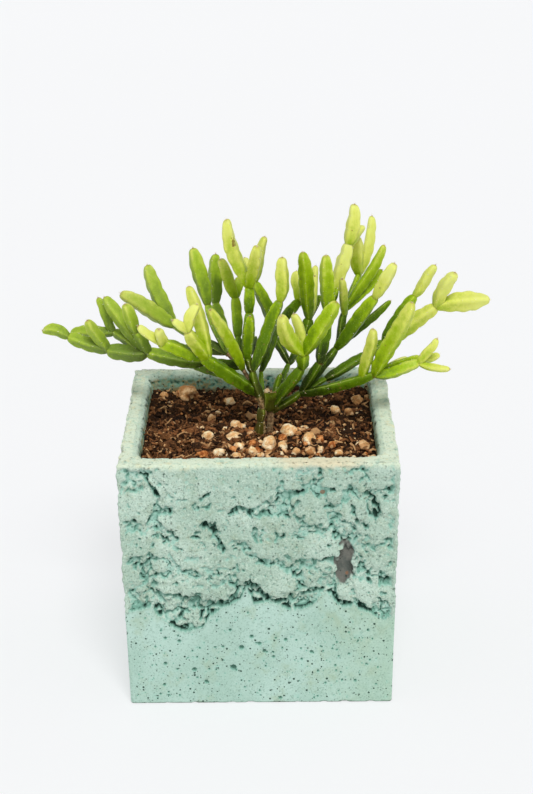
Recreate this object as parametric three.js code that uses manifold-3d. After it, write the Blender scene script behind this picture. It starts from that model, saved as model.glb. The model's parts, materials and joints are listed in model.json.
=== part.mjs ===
// Mistletoe cactus in a cast concrete cube pot.
// Millimetres, +Z up, the front of the pot faces -Y, and the origin is the middle of the pot's base.
import * as THREE from 'three';
import { mergeVertices } from 'three/addons/utils/BufferGeometryUtils.js';
import Module from 'manifold-3d';

const wasm = await Module();
wasm.setup();

// Driving dimensions
const GAP = 0.3; // clear space between neighbouring pieces
const POT = {
  rim: 110, // outside width at the rim
  foot: 106, // outside width at the base
  height: 105.5,
  cavityTop: 94.6, // width of the opening
  cavityFoot: 91, // width of the cavity at its floor
  cavityShift: 1, // the front wall is a little thicker than the back one
  cornerRadius: 6, // upright corners of the cavity
  floor: 9,
};
const DRAIN = { radius: 3.5, offset: 20 }; // four holes in the floor
const SMOOTH_FOOT = 28; // below this height every face of the pot is smooth
const RELIEF = { across: 24, depth: 16, rows: 17, skin: 0.1 }; // relief grid of the pot above its foot
const SOIL = { top: 98, cells: 14, lump: 1.1 };
const ROOT_DEPTH = 12; // how far the stems go down into the soil

// Rough upper part of the front face: [across, height] points of its lower edge
const ROUGH_EDGE = [
  [-54, 41], [-43, 44], [-37, 37], [-30, 33], [-23, 34], [-16, 42], [-10, 45], [-5.5, 53],
  [-2.5, 46], [5, 46], [12, 42.5], [21, 44], [26.5, 49], [36, 42.5], [37.5, 47], [43.5, 40],
  [48, 35], [54, 40],
];
// Deep pits of the front face: [across, height, radius, depth]
const PITS = [
  [-43, 99, 3, 2.6], [-40, 92.5, 3, 1.6], [-9, 86.5, 3, 2.2], [-4.5, 86, 3, 2.2], [-18.5, 78, 4, 3.2],
  [-14, 69, 3, 2], [-38.5, 77.5, 4, 2.4], [-41, 86, 3, 1.8], [-0.5, 76, 3, 1.8], [8, 76, 3, 1.6],
  [-42.5, 67, 4.5, 3.2], [-46.5, 60, 4, 2.8], [17, 93.5, 3, 2], [24.5, 92.5, 4, 3], [21, 85, 3.5, 2],
  [30, 81, 4, 2.6], [43, 88.5, 3.5, 2.4], [45, 82, 3, 2], [34.3, 68.5, 5, 3.8], [34.3, 60, 5, 3.6],
  [43, 68.5, 3.5, 2.2], [44, 58.5, 3.5, 2.2], [-24, 47.5, 4.5, 3.6], [-16.5, 48.5, 4, 3.4],
  [-9.5, 50.5, 3.5, 3], [-1, 52.5, 4, 3.2], [4.5, 50, 4, 3.2], [10, 46, 3.5, 3], [28, 51, 4, 3],
  [35.5, 46.5, 4, 3], [43, 42.5, 4, 3.2], [-30, 39, 4.5, 3], [-36, 42, 3.5, 2.6], [-48, 47, 4, 3],
];

// Loose grains that lie on the soil: [x, y, length, width, height, turn in degrees]
const GRAINS = {
  cream: [
    [-21, -10, 5.4, 4.4, 4, 20], [-10, 1, 4.6, 4.2, 4, 50], [-10.5, -10.5, 6.4, 3.8, 3.4, 5],
    [-16, -27, 4.2, 4, 3.4, 40], [-8, -21.5, 4.2, 3.6, 3.4, 0], [-9, -30.5, 4.2, 3.4, 2.8, 10],
    [-2.5, -25.5, 4.8, 4, 3.4, 30], [3.8, -18, 5.8, 7, 5.6, -35], [12.4, -5.6, 7, 5.6, 5, -25],
    [9.6, -21.5, 3.8, 4.6, 3.8, 10], [20.6, -13.5, 5, 7.4, 5, 15], [15, -25.5, 3.2, 3.6, 2.8, 0],
    [32, 20, 4.4, 4, 3.6, 15],
  ],
  tan: [
    [-31, 39.5, 8.2, 6, 5.4, -30], [17.3, -4.6, 3.6, 3.4, 2.8, 0], [20.5, -27, 5, 4.4, 3.8, 25],
    [42, 32, 5.4, 5, 4.4, 40], [37.5, 17, 4.2, 4.2, 3.8, 0], [-20, 12, 3.6, 4.6, 3.8, 20],
    [42.5, -21.5, 5, 6.4, 4.6, 10], [-41.5, 39.5, 4, 4, 3.4, 0],
  ],
  rust: [
    [-22.5, -28.5, 5.8, 3.4, 3, 15], [-2.8, -17.4, 3.4, 3.8, 3, 30], [9.6, -14, 4, 3.8, 3.2, 0],
    [29.5, -18, 3.6, 3.6, 3, 20],
  ],
};

// The plant, one row for each stem segment of each spray:
// [name, grows from, tip x, tip y, tip z, widest width, paleness 0 to 1,
//  bend to the right of its way (0), where it starts along its parent (1)]
const PLANT = {
  trunk_left: [
    ['base', null, 1, -6, 104.5, 3.9, 0.05],
    ['stem', 'base', 1.5, -6, 110, 3.7, 0.1],
    ['twig_1', 'stem', -1, -4, 116, 1.9, 0],
    ['twig_2', 'twig_1', -3.5, -3, 121, 1.9, 0],
    ['twig_3', 'twig_2', -7, -2, 126.5, 2, 0],
    ['neck', 'stem', -2.5, -5, 126, 4.1, 0.1],
    ['fork', 'neck', -4.5, -3.5, 131, 4.1, 0.05],
  ],
  trunk_right: [
    ['strand', null, 5, -3, 109, 2.1, 0],
    ['stub', 'strand', 5.5, -7, 118, 5.3, 0.2],
    ['sprout', 'strand', 9, 1, 122, 3.3, 0.3],
    ['arm', 'strand', 17.5, -1, 115, 3.7, 0.1, 0, 0.9],
  ],
  low_left: [
    ['low_1', 'twig_1', -22.5, -15, 135.5, 6.1, 0.35],
    ['low_2', 'low_1', -39, -19, 143, 5.2, 0.55],
    ['low_3', 'low_2', -47, -19, 150, 3.6, 0.95],
    ['low_4', 'low_2', -38.5, -23, 150, 4.7, 0.95, 0, 0.92],
    ['low_5', 'low_1', -27.5, -22, 149, 5.6, 0.7, 0, 0.93],
    ['low_6', 'low_5', -33, -24, 154, 3.5, 1],
    ['low_7', 'low_5', -23.5, -21, 159.5, 5.1, 0.8],
    ['low_8', 'low_1', -27, -12, 164, 5.6, 0.7, 2, 0.88],
    ['low_9', 'twig_2', -27, 12, 121.5, 3.7, 0.15],
  ],
  far_left: [
    ['far_1', 'twig_3', -22, 3, 127, 4.5, 0.15],
    ['far_2', 'far_1', -46, 8, 129.5, 5.8, 0.2, -0.8],
    ['far_3', 'far_2', -62.5, 10, 130, 6.6, 0.35, -0.8],
    ['far_4', 'far_3', -78.5, 12, 135.5, 5.4, 0.5, -0.3],
    ['far_5', 'far_4', -89, 14, 137.5, 4.8, 0.6, 1.2],
    ['far_6', 'far_3', -69.5, 5, 144.5, 4.9, 0.6],
    ['far_7', 'far_2', -60, 17, 135.5, 4.6, 0.25],
    ['far_8', 'far_7', -78.5, 23, 133, 4.6, 0.55, 0.5],
    ['far_9', 'far_7', -66, 18, 150, 3.9, 0.55],
    ['far_10', 'far_2', -63, 14, 151.5, 5.8, 0.5],
    ['far_11', 'far_2', -49.5, 2, 141, 4.5, 0.35, 0, 0.96],
    ['far_12', 'far_11', -53.5, 0, 153, 5.3, 0.6],
  ],
  upper_left: [
    ['high_1', 'twig_3', -13, 8, 129, 2, 0],
    ['high_2', 'high_1', -32, 20, 127.5, 3.7, 0.1],
    ['high_3', 'high_1', -36, 27, 135, 4.2, 0.15, 0, 0.9],
    ['high_4', 'high_3', -57, 24, 150, 7.1, 0.35, 0.3],
    ['high_5', 'high_3', -46.5, 34, 159, 6.3, 0.35],
    ['high_6', 'high_1', -21, 17, 147.5, 3.9, 0.2, -0.6],
    ['high_7', 'high_6', -26.5, 21, 170, 6.2, 0.45, -0.4],
    ['high_8', 'high_1', -18, 25, 145, 3.7, 0.2, -0.4, 0.95],
    ['high_9', 'high_8', -17.5, 29, 165, 5.4, 0.45],
  ],
  mid_left: [
    ['mid_1', 'twig_3', -18.5, -16, 155.5, 5.6, 0.65, 0.8, 0.9],
    ['mid_2', 'twig_3', -8.5, 12, 134.5, 3.7, 0.05],
    ['mid_3', 'mid_2', -9.5, 18, 150, 4.5, 0.35],
    ['mid_4', 'mid_3', -15, 15, 167, 5.5, 0.6],
    ['mid_5', 'mid_3', -8, 22, 157, 3.9, 0.6],
  ],
  centre: [
    ['centre_1', 'fork', -3.5, 3, 148, 5.7, 0.2],
    ['centre_2', 'centre_1', -3.5, 6, 158, 4.5, 0.35],
    ['centre_3', 'centre_2', -12, 3, 187, 5.2, 0.65, -2.2],
    ['centre_4', 'centre_2', 0, -3, 177.5, 5.6, 0.75, 0.4],
    ['centre_5', 'fork', -3, -8, 150, 5, 0.4, 0, 0.9],
    ['centre_6', 'fork', -1, 13, 134, 2.9, 0.05],
    ['centre_7', 'neck', 9, 0, 154, 5.7, 0.3],
    ['centre_8', 'centre_7', 10, 0, 172, 5.4, 0.8],
  ],
  back: [
    ['back_1', 'stem', 1, 4, 122.5, 2.3, 0.2],
    ['back_2', 'back_1', 9, 15, 140, 3.7, 0.2],
    ['back_3', 'back_2', 17, 24, 146, 4.6, 0.2],
    ['back_4', 'back_3', 16, 30, 157, 5.4, 0.85, -0.5],
  ],
  front_right: [
    ['front_1', 'strand', 17.5, -13, 130, 5.3, 0.3, -0.5, 0.95],
    ['front_2', 'front_1', 18.5, -16, 137, 5.2, 0.35],
    ['front_3', 'front_2', 31, -23, 160.5, 6.7, 0.85],
    ['front_4', 'front_2', 9.5, -26, 156, 6.3, 0.85, -2.2],
    ['front_5', 'front_2', 14.5, -16, 153.5, 4.8, 0.9, 0.8],
  ],
  back_right: [
    ['rear_1', 'strand', 12.5, 10, 123.5, 2.9, 0.1],
    ['rear_2', 'rear_1', 18, 15, 130, 3.5, 0.1],
    ['rear_3', 'rear_2', 21, 16, 141, 5, 0.1],
    ['rear_4', 'rear_3', 18.5, 12, 170.5, 5.7, 0.4],
    ['rear_5', 'rear_3', 25.5, 26, 147.5, 3.7, 0.1],
    ['rear_6', 'rear_3', 24, 29, 159.5, 3.3, 0.9],
    ['rear_7', 'rear_1', 5, 21, 134.5, 3.7, 0.15],
    ['rear_8', 'rear_7', -1.5, 24, 154.5, 4.6, 0.3, 1.7],
    ['rear_9', 'rear_8', 3, 23, 174, 4.1, 0.75],
    ['rear_10', 'rear_8', -5.5, 30, 163, 3.7, 0.9],
  ],
  upper_right: [
    ['tall_1', 'arm', 25, -3, 128.5, 4.1, 0.1],
    ['tall_2', 'tall_1', 28, 1, 148.5, 4.1, 0.2],
    ['tall_3', 'tall_2', 27.5, -3, 173.5, 5.8, 0.5],
    ['tall_4', 'tall_2', 32, 13, 154.5, 3.7, 0.3],
    ['tall_5', 'tall_4', 37, 16, 173, 5.7, 0.6],
    ['tall_6', 'tall_5', 39.5, 17, 189, 5.7, 0.85, 0.9],
    ['tall_7', 'tall_4', 33.5, 25, 165, 3.3, 0.9],
    ['tall_8', 'tall_5', 43.5, 23, 178, 3.3, 0.9],
  ],
  right: [
    ['slant_1', 'arm', 32, 6, 131.5, 4.5, 0.05],
    ['slant_2', 'slant_1', 36, 13, 146, 3.5, 0.1],
    ['slant_3', 'slant_2', 34, 1, 162.5, 3.9, 0.8, 0, 0.85],
    ['slant_4', 'slant_2', 51.5, 14, 172.5, 4.5, 0.5],
    ['slant_5', 'slant_2', 51, 21, 160, 3.7, 0.5],
    ['slant_6', 'slant_2', 42, 29, 156, 3.7, 0.4],
    ['slant_7', 'slant_6', 41, 26, 172.5, 5, 0.85],
    ['slant_8', 'slant_6', 47.5, 35, 179, 4.6, 0.8, 1.5],
    ['slant_9', 'slant_1', 47.5, 2, 154.5, 6.1, 0.25],
    ['slant_10', 'slant_9', 55, 0, 169, 5.4, 0.9],
    ['slant_11', 'slant_1', 54.5, 18, 147.5, 3.3, 0.2, 0.4, 0.93],
  ],
  low_right: [
    ['level_1', 'arm', 47, -7, 124.5, 4.9, 0.2, 0.8, 0.93],
    ['level_2', 'level_1', 46, -12, 145.5, 5, 0.85, 0, 0.83],
    ['level_3', 'level_1', 61, -17, 158, 6.6, 0.65],
    ['level_4', 'level_1', 65, -6, 129, 4.9, 0.6, 1],
    ['level_5', 'level_1', 65.5, 3, 128.5, 3.3, 0.5, -0.4],
    ['level_6', 'level_1', 61, 10, 125.5, 2.5, 0.9],
    ['level_7', 'level_4', 72, -7, 139.5, 3.4, 0.9],
    ['level_8', 'level_4', 73.5, 2, 129.5, 4.1, 0.8],
    ['level_9', 'level_4', 77, -10, 127.5, 3.2, 0.85, 0.8],
  ],
  far_right: [
    ['right_1', 'arm', 27.5, 6, 118, 3.7, 0.15],
    ['right_2', 'right_1', 45, 12, 126.5, 4.1, 0.2],
    ['right_3', 'right_2', 52, 15, 130.5, 3.7, 0.2],
    ['right_4', 'right_3', 65, 25, 147.5, 4.2, 0.3],
    ['right_5', 'right_4', 73.5, 27, 160, 4.6, 0.95, -0.5],
    ['right_6', 'right_3', 73, 12, 147, 6.2, 0.6, 0.3],
    ['right_7', 'right_6', 80, 8, 162.5, 5.5, 0.95, -1.8],
    ['right_8', 'right_6', 95, 16, 148.5, 7.4, 0.95, -0.9],
  ],
};
const WOODY = new Set(['twig_1', 'twig_2', 'twig_3', 'strand', 'high_1']);
const STARTS = { base: [-0.5, -5.5], strand: [3.5, -4.5] }; // the two stems stand side by side

// Shape of a stem segment: share of its half width at each station along it
const STATIONS = [0, 0.14, 0.5, 0.88, 1];
const ALL_RINGS = [0, 1, 2, 3, 4];
const SHORT_RINGS = [0, 1, 3, 4]; // a short segment has no ring at its middle
const SHORT = 12;
const PROFILE_TIP = [0.44, 0.84, 1.02, 0.84, 0.36];
const PROFILE_JOINT = [0.44, 0.84, 1.02, 0.9, 0.5];
const PROFILE_WOOD = [1, 0.92, 0.86, 0.92, 0.9];
const PROFILE_STUB = [0.5, 0.86, 1, 1, 0.86];
const GROOVE = 0.74; // depth of the grooves between the ribs, as a share of the rib's height
const SINK = 0.9; // how far a segment is rooted in the one that carries it

// Seeded draws and smooth noise
function drawer(seed) {
  let state = seed;
  return () => {
    state = (Math.imul(state, 1664525) + 1013904223) >>> 0;
    return state / 4294967296;
  };
}

function hash(i, j, seed) {
  let h = Math.imul(i + 71, 374761393) ^ Math.imul(j + 113, 668265263) ^ Math.imul(seed + 7, 974634777);
  h = Math.imul(h ^ (h >>> 13), 1274126177);
  return ((h ^ (h >>> 16)) >>> 0) / 4294967296;
}

function noise(x, y, seed) {
  const i = Math.floor(x);
  const j = Math.floor(y);
  const u = THREE.MathUtils.smoothstep(x - i, 0, 1);
  const v = THREE.MathUtils.smoothstep(y - j, 0, 1);
  const low = THREE.MathUtils.lerp(hash(i, j, seed), hash(i + 1, j, seed), u);
  const high = THREE.MathUtils.lerp(hash(i, j + 1, seed), hash(i + 1, j + 1, seed), u);
  return THREE.MathUtils.lerp(low, high, v);
}

// From a closed geometry to a solid and back
function solid(geometry) {
  const bare = geometry.clone();
  bare.deleteAttribute('normal');
  bare.deleteAttribute('uv');
  const merged = mergeVertices(bare, 1e-4);
  return new wasm.Manifold(new wasm.Mesh({
    numProp: 3,
    vertProperties: new Float32Array(merged.attributes.position.array),
    triVerts: new Uint32Array(merged.index.array),
  }));
}

function geometryOf(manifold) {
  const mesh = manifold.getMesh();
  const geometry = new THREE.BufferGeometry();
  geometry.setAttribute('position', new THREE.BufferAttribute(new Float32Array(mesh.vertProperties), 3));
  geometry.setIndex(new THREE.BufferAttribute(new Uint32Array(mesh.triVerts), 1));
  return geometry;
}

function largestPiece(manifold) {
  const pieces = manifold.decompose();
  pieces.sort((a, b) => b.volume() - a.volume());
  return pieces[0];
}

// Moves every vertex of a geometry to where a rule says
function reshape(geometry, rule) {
  const position = geometry.attributes.position;
  const point = new THREE.Vector3();
  for (let i = 0; i < position.count; i += 1) {
    point.fromBufferAttribute(position, i);
    rule(point);
    position.setXYZ(i, point.x, point.y, point.z);
  }
  return geometry;
}

// Height of the rough part's lower edge at a place across the front
function edgeHeight(across) {
  for (let i = 1; i < ROUGH_EDGE.length; i += 1) {
    const [x0, z0] = ROUGH_EDGE[i - 1];
    const [x1, z1] = ROUGH_EDGE[i];
    if (across <= x1) return THREE.MathUtils.mapLinear(across, x0, x1, z0, z1);
  }
  return ROUGH_EDGE[ROUGH_EDGE.length - 1][1];
}

// How far the concrete is set back from the plane of a face. Face 0 is the front.
function setBack(face, across, height) {
  const edge = face === 0 ? edgeHeight(across) : 36 + 14 * noise(across / 11, 3.5, 20 + face);
  const rough = THREE.MathUtils.smoothstep(height, edge - 0.5, edge + 3);
  const nearCorner = 1 - 0.7 * THREE.MathUtils.smoothstep(Math.abs(across), POT.foot / 2 - 5, POT.foot / 2);
  const nearRim = nearCorner * (1 - 0.75 * THREE.MathUtils.smoothstep(height, POT.height - 5, POT.height));
  const ridged = 1 - Math.abs(2 * noise(across / 7, height / 6, 3 + face) - 1);
  const lumps = 0.35 * noise(across / 3.6, height / 3.4, 9 + face);
  let depth = RELIEF.skin + rough * nearRim * (2.3 * ridged ** 3 + lumps);
  const pits = face === 0 ? PITS : [];
  for (const [x, z, radius, deep] of pits) {
    const away = Math.hypot(across - x, height - z) / (radius + 1.2);
    depth = Math.max(depth, nearCorner * deep * (1 - THREE.MathUtils.smoothstep(away, 0.25, 1)));
  }
  if (face > 0) {
    const hollow = noise(across / 9 + 4, height / 8, 40 + face);
    depth += rough * nearRim * 2.4 * THREE.MathUtils.smoothstep(hollow, 0.66, 0.86);
  }
  return depth;
}

// The cavity: a block with a square, round-cornered section that narrows towards its floor
function cavityBlock() {
  const topHalf = POT.cavityTop / 2;
  const radius = POT.cornerRadius;
  const outline = new THREE.Shape();
  const straight = topHalf - radius;
  outline.absarc(straight, straight, radius, 0, Math.PI / 2);
  outline.absarc(-straight, straight, radius, Math.PI / 2, Math.PI);
  outline.absarc(-straight, -straight, radius, Math.PI, 1.5 * Math.PI);
  outline.absarc(straight, -straight, radius, 1.5 * Math.PI, 2 * Math.PI);
  const settings = { depth: 1, steps: 1, bevelEnabled: false, curveSegments: 4 };
  return reshape(new THREE.ExtrudeGeometry(outline, settings), (point) => {
    const z = THREE.MathUtils.lerp(POT.floor, POT.height + 5, point.z);
    const width = THREE.MathUtils.mapLinear(z, POT.floor, POT.height, POT.cavityFoot, POT.cavityTop);
    const scale = width / POT.cavityTop;
    point.set(point.x * scale, point.y * scale + POT.cavityShift, z);
  });
}

// Half the outside width of the pot at a height
function potHalf(height) {
  return THREE.MathUtils.lerp(POT.foot, POT.rim, height / POT.height) / 2;
}

// The plain foot of the pot
function footBlock() {
  const block = new THREE.BoxGeometry(2, 2, 1);
  return reshape(block, (point) => {
    const z = (point.z + 0.5) * SMOOTH_FOOT;
    const half = potHalf(z) - 1.5 * RELIEF.skin;
    point.set(point.x * half, point.y * half, z);
  });
}

// The pot above its foot, with the relief of its four faces. The lowest ring is sunk into the foot.
function reliefBlock() {
  const { across, depth, rows } = RELIEF;
  const block = new THREE.BoxGeometry(2, 2, 1, across, depth, rows);
  const faces = [[0, -1], [1, 0], [0, 1], [-1, 0]];
  return reshape(block, (point) => {
    const row = Math.round((point.z + 0.5) * rows);
    const onRim = row === rows;
    const above = THREE.MathUtils.mapLinear(row, 1, rows, SMOOTH_FOOT - 0.3, POT.height);
    const height = row === 0 ? SMOOTH_FOOT - 4 : above;
    const moved = new THREE.Vector3(point.x * potHalf(height), point.y * potHalf(height), height);
    faces.forEach(([nx, ny], face) => {
      const onFace = point.x * nx + point.y * ny > 0.999;
      if (!onFace) return;
      const along = (nx === 0 ? -ny * point.x : nx * point.y) * potHalf(height);
      const relief = setBack(face, along, height) * (onRim ? 0.35 : 1);
      const back = row === 0 ? 2 : relief;
      moved.x -= nx * back;
      moved.y -= ny * back;
    });
    if (onRim) moved.z -= 0.9 * noise(moved.x / 6, moved.y / 6, 61);
    point.copy(moved);
  });
}

function potSolid() {
  const drains = [[1, 1], [-1, 1], [-1, -1], [1, -1]].map(([sx, sy]) => {
    const hole = new THREE.CylinderGeometry(DRAIN.radius, DRAIN.radius, 3 * POT.floor, 12);
    hole.rotateX(Math.PI / 2);
    hole.translate(sx * DRAIN.offset, sy * DRAIN.offset, POT.floor / 2);
    return solid(hole);
  });
  const outside = solid(footBlock()).add(solid(reliefBlock()));
  return drains.reduce((body, hole) => body.subtract(hole), outside.subtract(solid(cavityBlock())));
}

// Height of the soil's surface
function soilHeight(x, y) {
  const lumps = noise(x / 4.6, y / 4.6, 81) + 0.6 * noise(x / 2.4, y / 2.4, 82) - 0.8;
  const mound = 0.8 * Math.exp(-((x - 2) ** 2 + (y + 8) ** 2) / 500);
  return SOIL.top + SOIL.lump * lumps + mound;
}

// The soil fills the cavity, a little clear of the walls, and ends in a flat foot above the floor
function soilSolid() {
  const foot = POT.floor + GAP;
  const block = new THREE.BoxGeometry(2, 2, 1, SOIL.cells, SOIL.cells, 1);
  reshape(block, (point) => {
    const top = point.z > 0;
    const z = top ? SOIL.top : foot - 3;
    const width = THREE.MathUtils.mapLinear(z, POT.floor, POT.height, POT.cavityFoot, POT.cavityTop);
    const half = width / 2 - GAP - 0.2;
    const straight = half - POT.cornerRadius;
    const inner = new THREE.Vector2(point.x * half, point.y * half);
    const rest = inner.clone();
    inner.clamp(new THREE.Vector2(-straight, -straight), new THREE.Vector2(straight, straight));
    rest.sub(inner);
    const reach = Math.max(Math.abs(rest.x), Math.abs(rest.y));
    if (rest.x !== 0 && rest.y !== 0) rest.setLength(reach);
    inner.add(rest);
    point.set(inner.x, inner.y + POT.cavityShift, z);
    if (top) point.z = soilHeight(point.x, point.y);
  });
  const under = new THREE.BoxGeometry(2 * POT.rim, 2 * POT.rim, 10);
  under.translate(0, 0, foot - 5);
  return solid(block).subtract(solid(under));
}

// Reads the rows of the plant into segments with a start, a tip and a shape
function readPlant() {
  const segments = new Map();
  for (const [spray, rows] of Object.entries(PLANT)) {
    for (const [name, parent, x, y, z, width, , bend = 0, from = 1] of rows) {
      const tip = new THREE.Vector3(x, y, z);
      let start;
      if (parent === null) {
        start = new THREE.Vector3(...STARTS[name], SOIL.top - ROOT_DEPTH);
      } else {
        const carrier = segments.get(parent);
        start = carrier.start.clone().lerp(carrier.tip, from);
        carrier.carries = true;
      }
      segments.set(name, { name, spray, parent, start, tip, width, bend, carries: false });
    }
  }
  return segments;
}

function profileOf(segment) {
  if (WOODY.has(segment.name)) return PROFILE_WOOD;
  if (segment.name === 'stub') return PROFILE_STUB;
  return segment.carries ? PROFILE_JOINT : PROFILE_TIP;
}

// One ribbed segment: a closed cylinder whose rings follow the segment's profile and bend
function segmentGeometry(segment, number, grow) {
  const woody = WOODY.has(segment.name);
  const slim = segment.width < 5;
  const ribs = woody ? 2.5 : slim ? 3 : 4;
  const draw = drawer(911 + number * 37);
  const turn = draw() * Math.PI;
  const wave = STATIONS.map(() => Array.from({ length: 4 }, () => 1 + 0.12 * (draw() - 0.5)));
  const profile = profileOf(segment);
  const sides = 2 * ribs;
  const rings = segment.start.distanceTo(segment.tip) < SHORT ? SHORT_RINGS : ALL_RINGS;
  const bands = rings.length - 1;
  const way = segment.tip.clone().sub(segment.start).normalize();
  const start = segment.start.clone().addScaledVector(way, segment.parent ? -SINK : 0);
  const across = new THREE.Vector3(0, 1, 0).cross(way).normalize();
  const depth = across.clone().cross(way);
  const tube = new THREE.CylinderGeometry(1, 1, 1, sides, bands);
  return reshape(tube, (point) => {
    const ring = Math.round((point.y + 0.5) * bands);
    const station = rings[ring];
    const share = STATIONS[station];
    const onAxis = Math.hypot(point.x, point.z) < 0.5;
    const angle = Math.atan2(point.z, point.x);
    const side = Math.round((angle / (2 * Math.PI)) * sides + sides) % sides;
    const onRib = side % 2 === 0;
    const groove = woody ? 1 : THREE.MathUtils.lerp(1, GROOVE, profile[station]);
    const radius = onAxis ? 0 : (segment.width / 2) * profile[station] * (onRib ? 1 : groove);
    const waved = onRib && !woody ? radius * wave[station][side / 2] : radius;
    const reach = onAxis ? 0 : waved + grow;
    const bow = segment.bend * 4 * share * (1 - share);
    const along = ring === 0 ? -grow : ring === bands ? grow : 0;
    point.copy(start).lerp(segment.tip, share);
    point.addScaledVector(way, along);
    point.addScaledVector(across, bow + reach * Math.cos(angle + turn));
    point.addScaledVector(depth, reach * Math.sin(angle + turn));
  });
}

// Each trunk and spray is fused from its segments and kept clear of the ones before it
function plantSolids() {
  const list = [...readPlant().values()];
  const bodies = list.map((segment, number) => ({
    spray: segment.spray,
    body: solid(segmentGeometry(segment, number, 0)),
    clear: solid(segmentGeometry(segment, number, GAP + 0.1)),
  }));
  const parts = new Map();
  const rooms = [];
  for (const spray of Object.keys(PLANT)) {
    const own = bodies.filter((entry) => entry.spray === spray);
    const fused = own.slice(1).reduce((body, entry) => body.add(entry.body), own[0].body);
    const room = own.slice(1).reduce((body, entry) => body.add(entry.clear), own[0].clear);
    const cleared = rooms.reduce((body, earlier) => body.subtract(earlier), fused);
    parts.set(spray, largestPiece(cleared));
    rooms.push(room);
  }
  return { parts, trunkRooms: rooms.slice(0, 2) };
}

// One loose grain: a broken, many-sided lump
function grainGeometry(row, number, grow) {
  const [x, y, length, width, height, turn] = row;
  const draw = drawer(4001 + number * 17);
  const lump = solid(new THREE.IcosahedronGeometry(1, length > 6 ? 1 : 0));
  const geometry = geometryOf(lump);
  const chips = Array.from({ length: 6 }, () => new THREE.Vector3(draw() - 0.5, draw() - 0.5, draw() - 0.5));
  const spin = new THREE.Euler(0, 0, THREE.MathUtils.degToRad(turn));
  return reshape(geometry, (point) => {
    const way = point.clone().normalize();
    const dent = chips.reduce((sum, chip) => sum + Math.max(0, way.dot(chip.normalize()) - 0.55), 0);
    point.multiplyScalar(1 - 0.28 * dent);
    point.set(point.x * (length / 2 + grow), point.y * (width / 2 + grow), point.z * (height / 2 + grow));
    point.applyEuler(spin);
    point.add(new THREE.Vector3(x, y, soilHeight(x, y) + 0.22 * height));
  });
}

// Finishes, from the photograph
const FINISH = {
  concrete: { color: 0xaccbbc, roughness: 0.92, metalness: 0 },
  soil: { color: 0x5a3a28, roughness: 1, metalness: 0 },
  old_stem: { color: 0x4c6424, roughness: 0.55, metalness: 0 },
  stem: { color: 0x7fa327, roughness: 0.5, metalness: 0 },
  young_stem: { color: 0xb4c643, roughness: 0.5, metalness: 0 },
  cream: { color: 0xe3c79c, roughness: 0.9, metalness: 0 },
  tan: { color: 0xbf8f5e, roughness: 0.9, metalness: 0 },
  rust: { color: 0xb4703c, roughness: 0.9, metalness: 0 },
};
// Finish of a trunk or spray, by the mean paleness of its segments
function plantFinish(spray) {
  const rows = PLANT[spray];
  const paleness = rows.reduce((sum, row) => sum + row[6], 0) / rows.length;
  if (paleness < 0.2) return 'old_stem';
  return paleness < 0.5 ? 'stem' : 'young_stem';
}

const group = new THREE.Group();

function place(name, geometry, finish) {
  const mesh = new THREE.Mesh(geometry, new THREE.MeshStandardMaterial(FINISH[finish]));
  mesh.name = name;
  group.add(mesh);
}

// Pot
place('pot', geometryOf(potSolid()), 'concrete');

// Plant
const { parts, trunkRooms } = plantSolids();
for (const [name, body] of parts) {
  const title = name.startsWith('trunk') ? name : `spray_${name}`;
  place(title, geometryOf(body), plantFinish(name));
}

// Grains, each cut clear of the trunks and of the grains before it
const grainRooms = [...trunkRooms];
let grainNumber = 0;
for (const [colour, rows] of Object.entries(GRAINS)) {
  rows.forEach((row, i) => {
    const whole = solid(grainGeometry(row, grainNumber, 0));
    const cleared = grainRooms.reduce((body, room) => body.subtract(room), whole);
    place(`grain_${colour}_${i + 1}`, geometryOf(largestPiece(cleared)), colour);
    grainRooms.push(solid(grainGeometry(row, grainNumber, GAP + 0.05)));
    grainNumber += 1;
  });
}

// Soil, with a plain hole for the stems and a seat for each grain
const soil = grainRooms.reduce((body, room) => body.subtract(room), soilSolid());
place('soil', geometryOf(largestPiece(soil)), 'soil');

export default group;
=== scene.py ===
import itertools
import json
import math
import random

import bmesh
import bpy
import numpy as np
from mathutils import Matrix, Vector, noise

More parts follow.
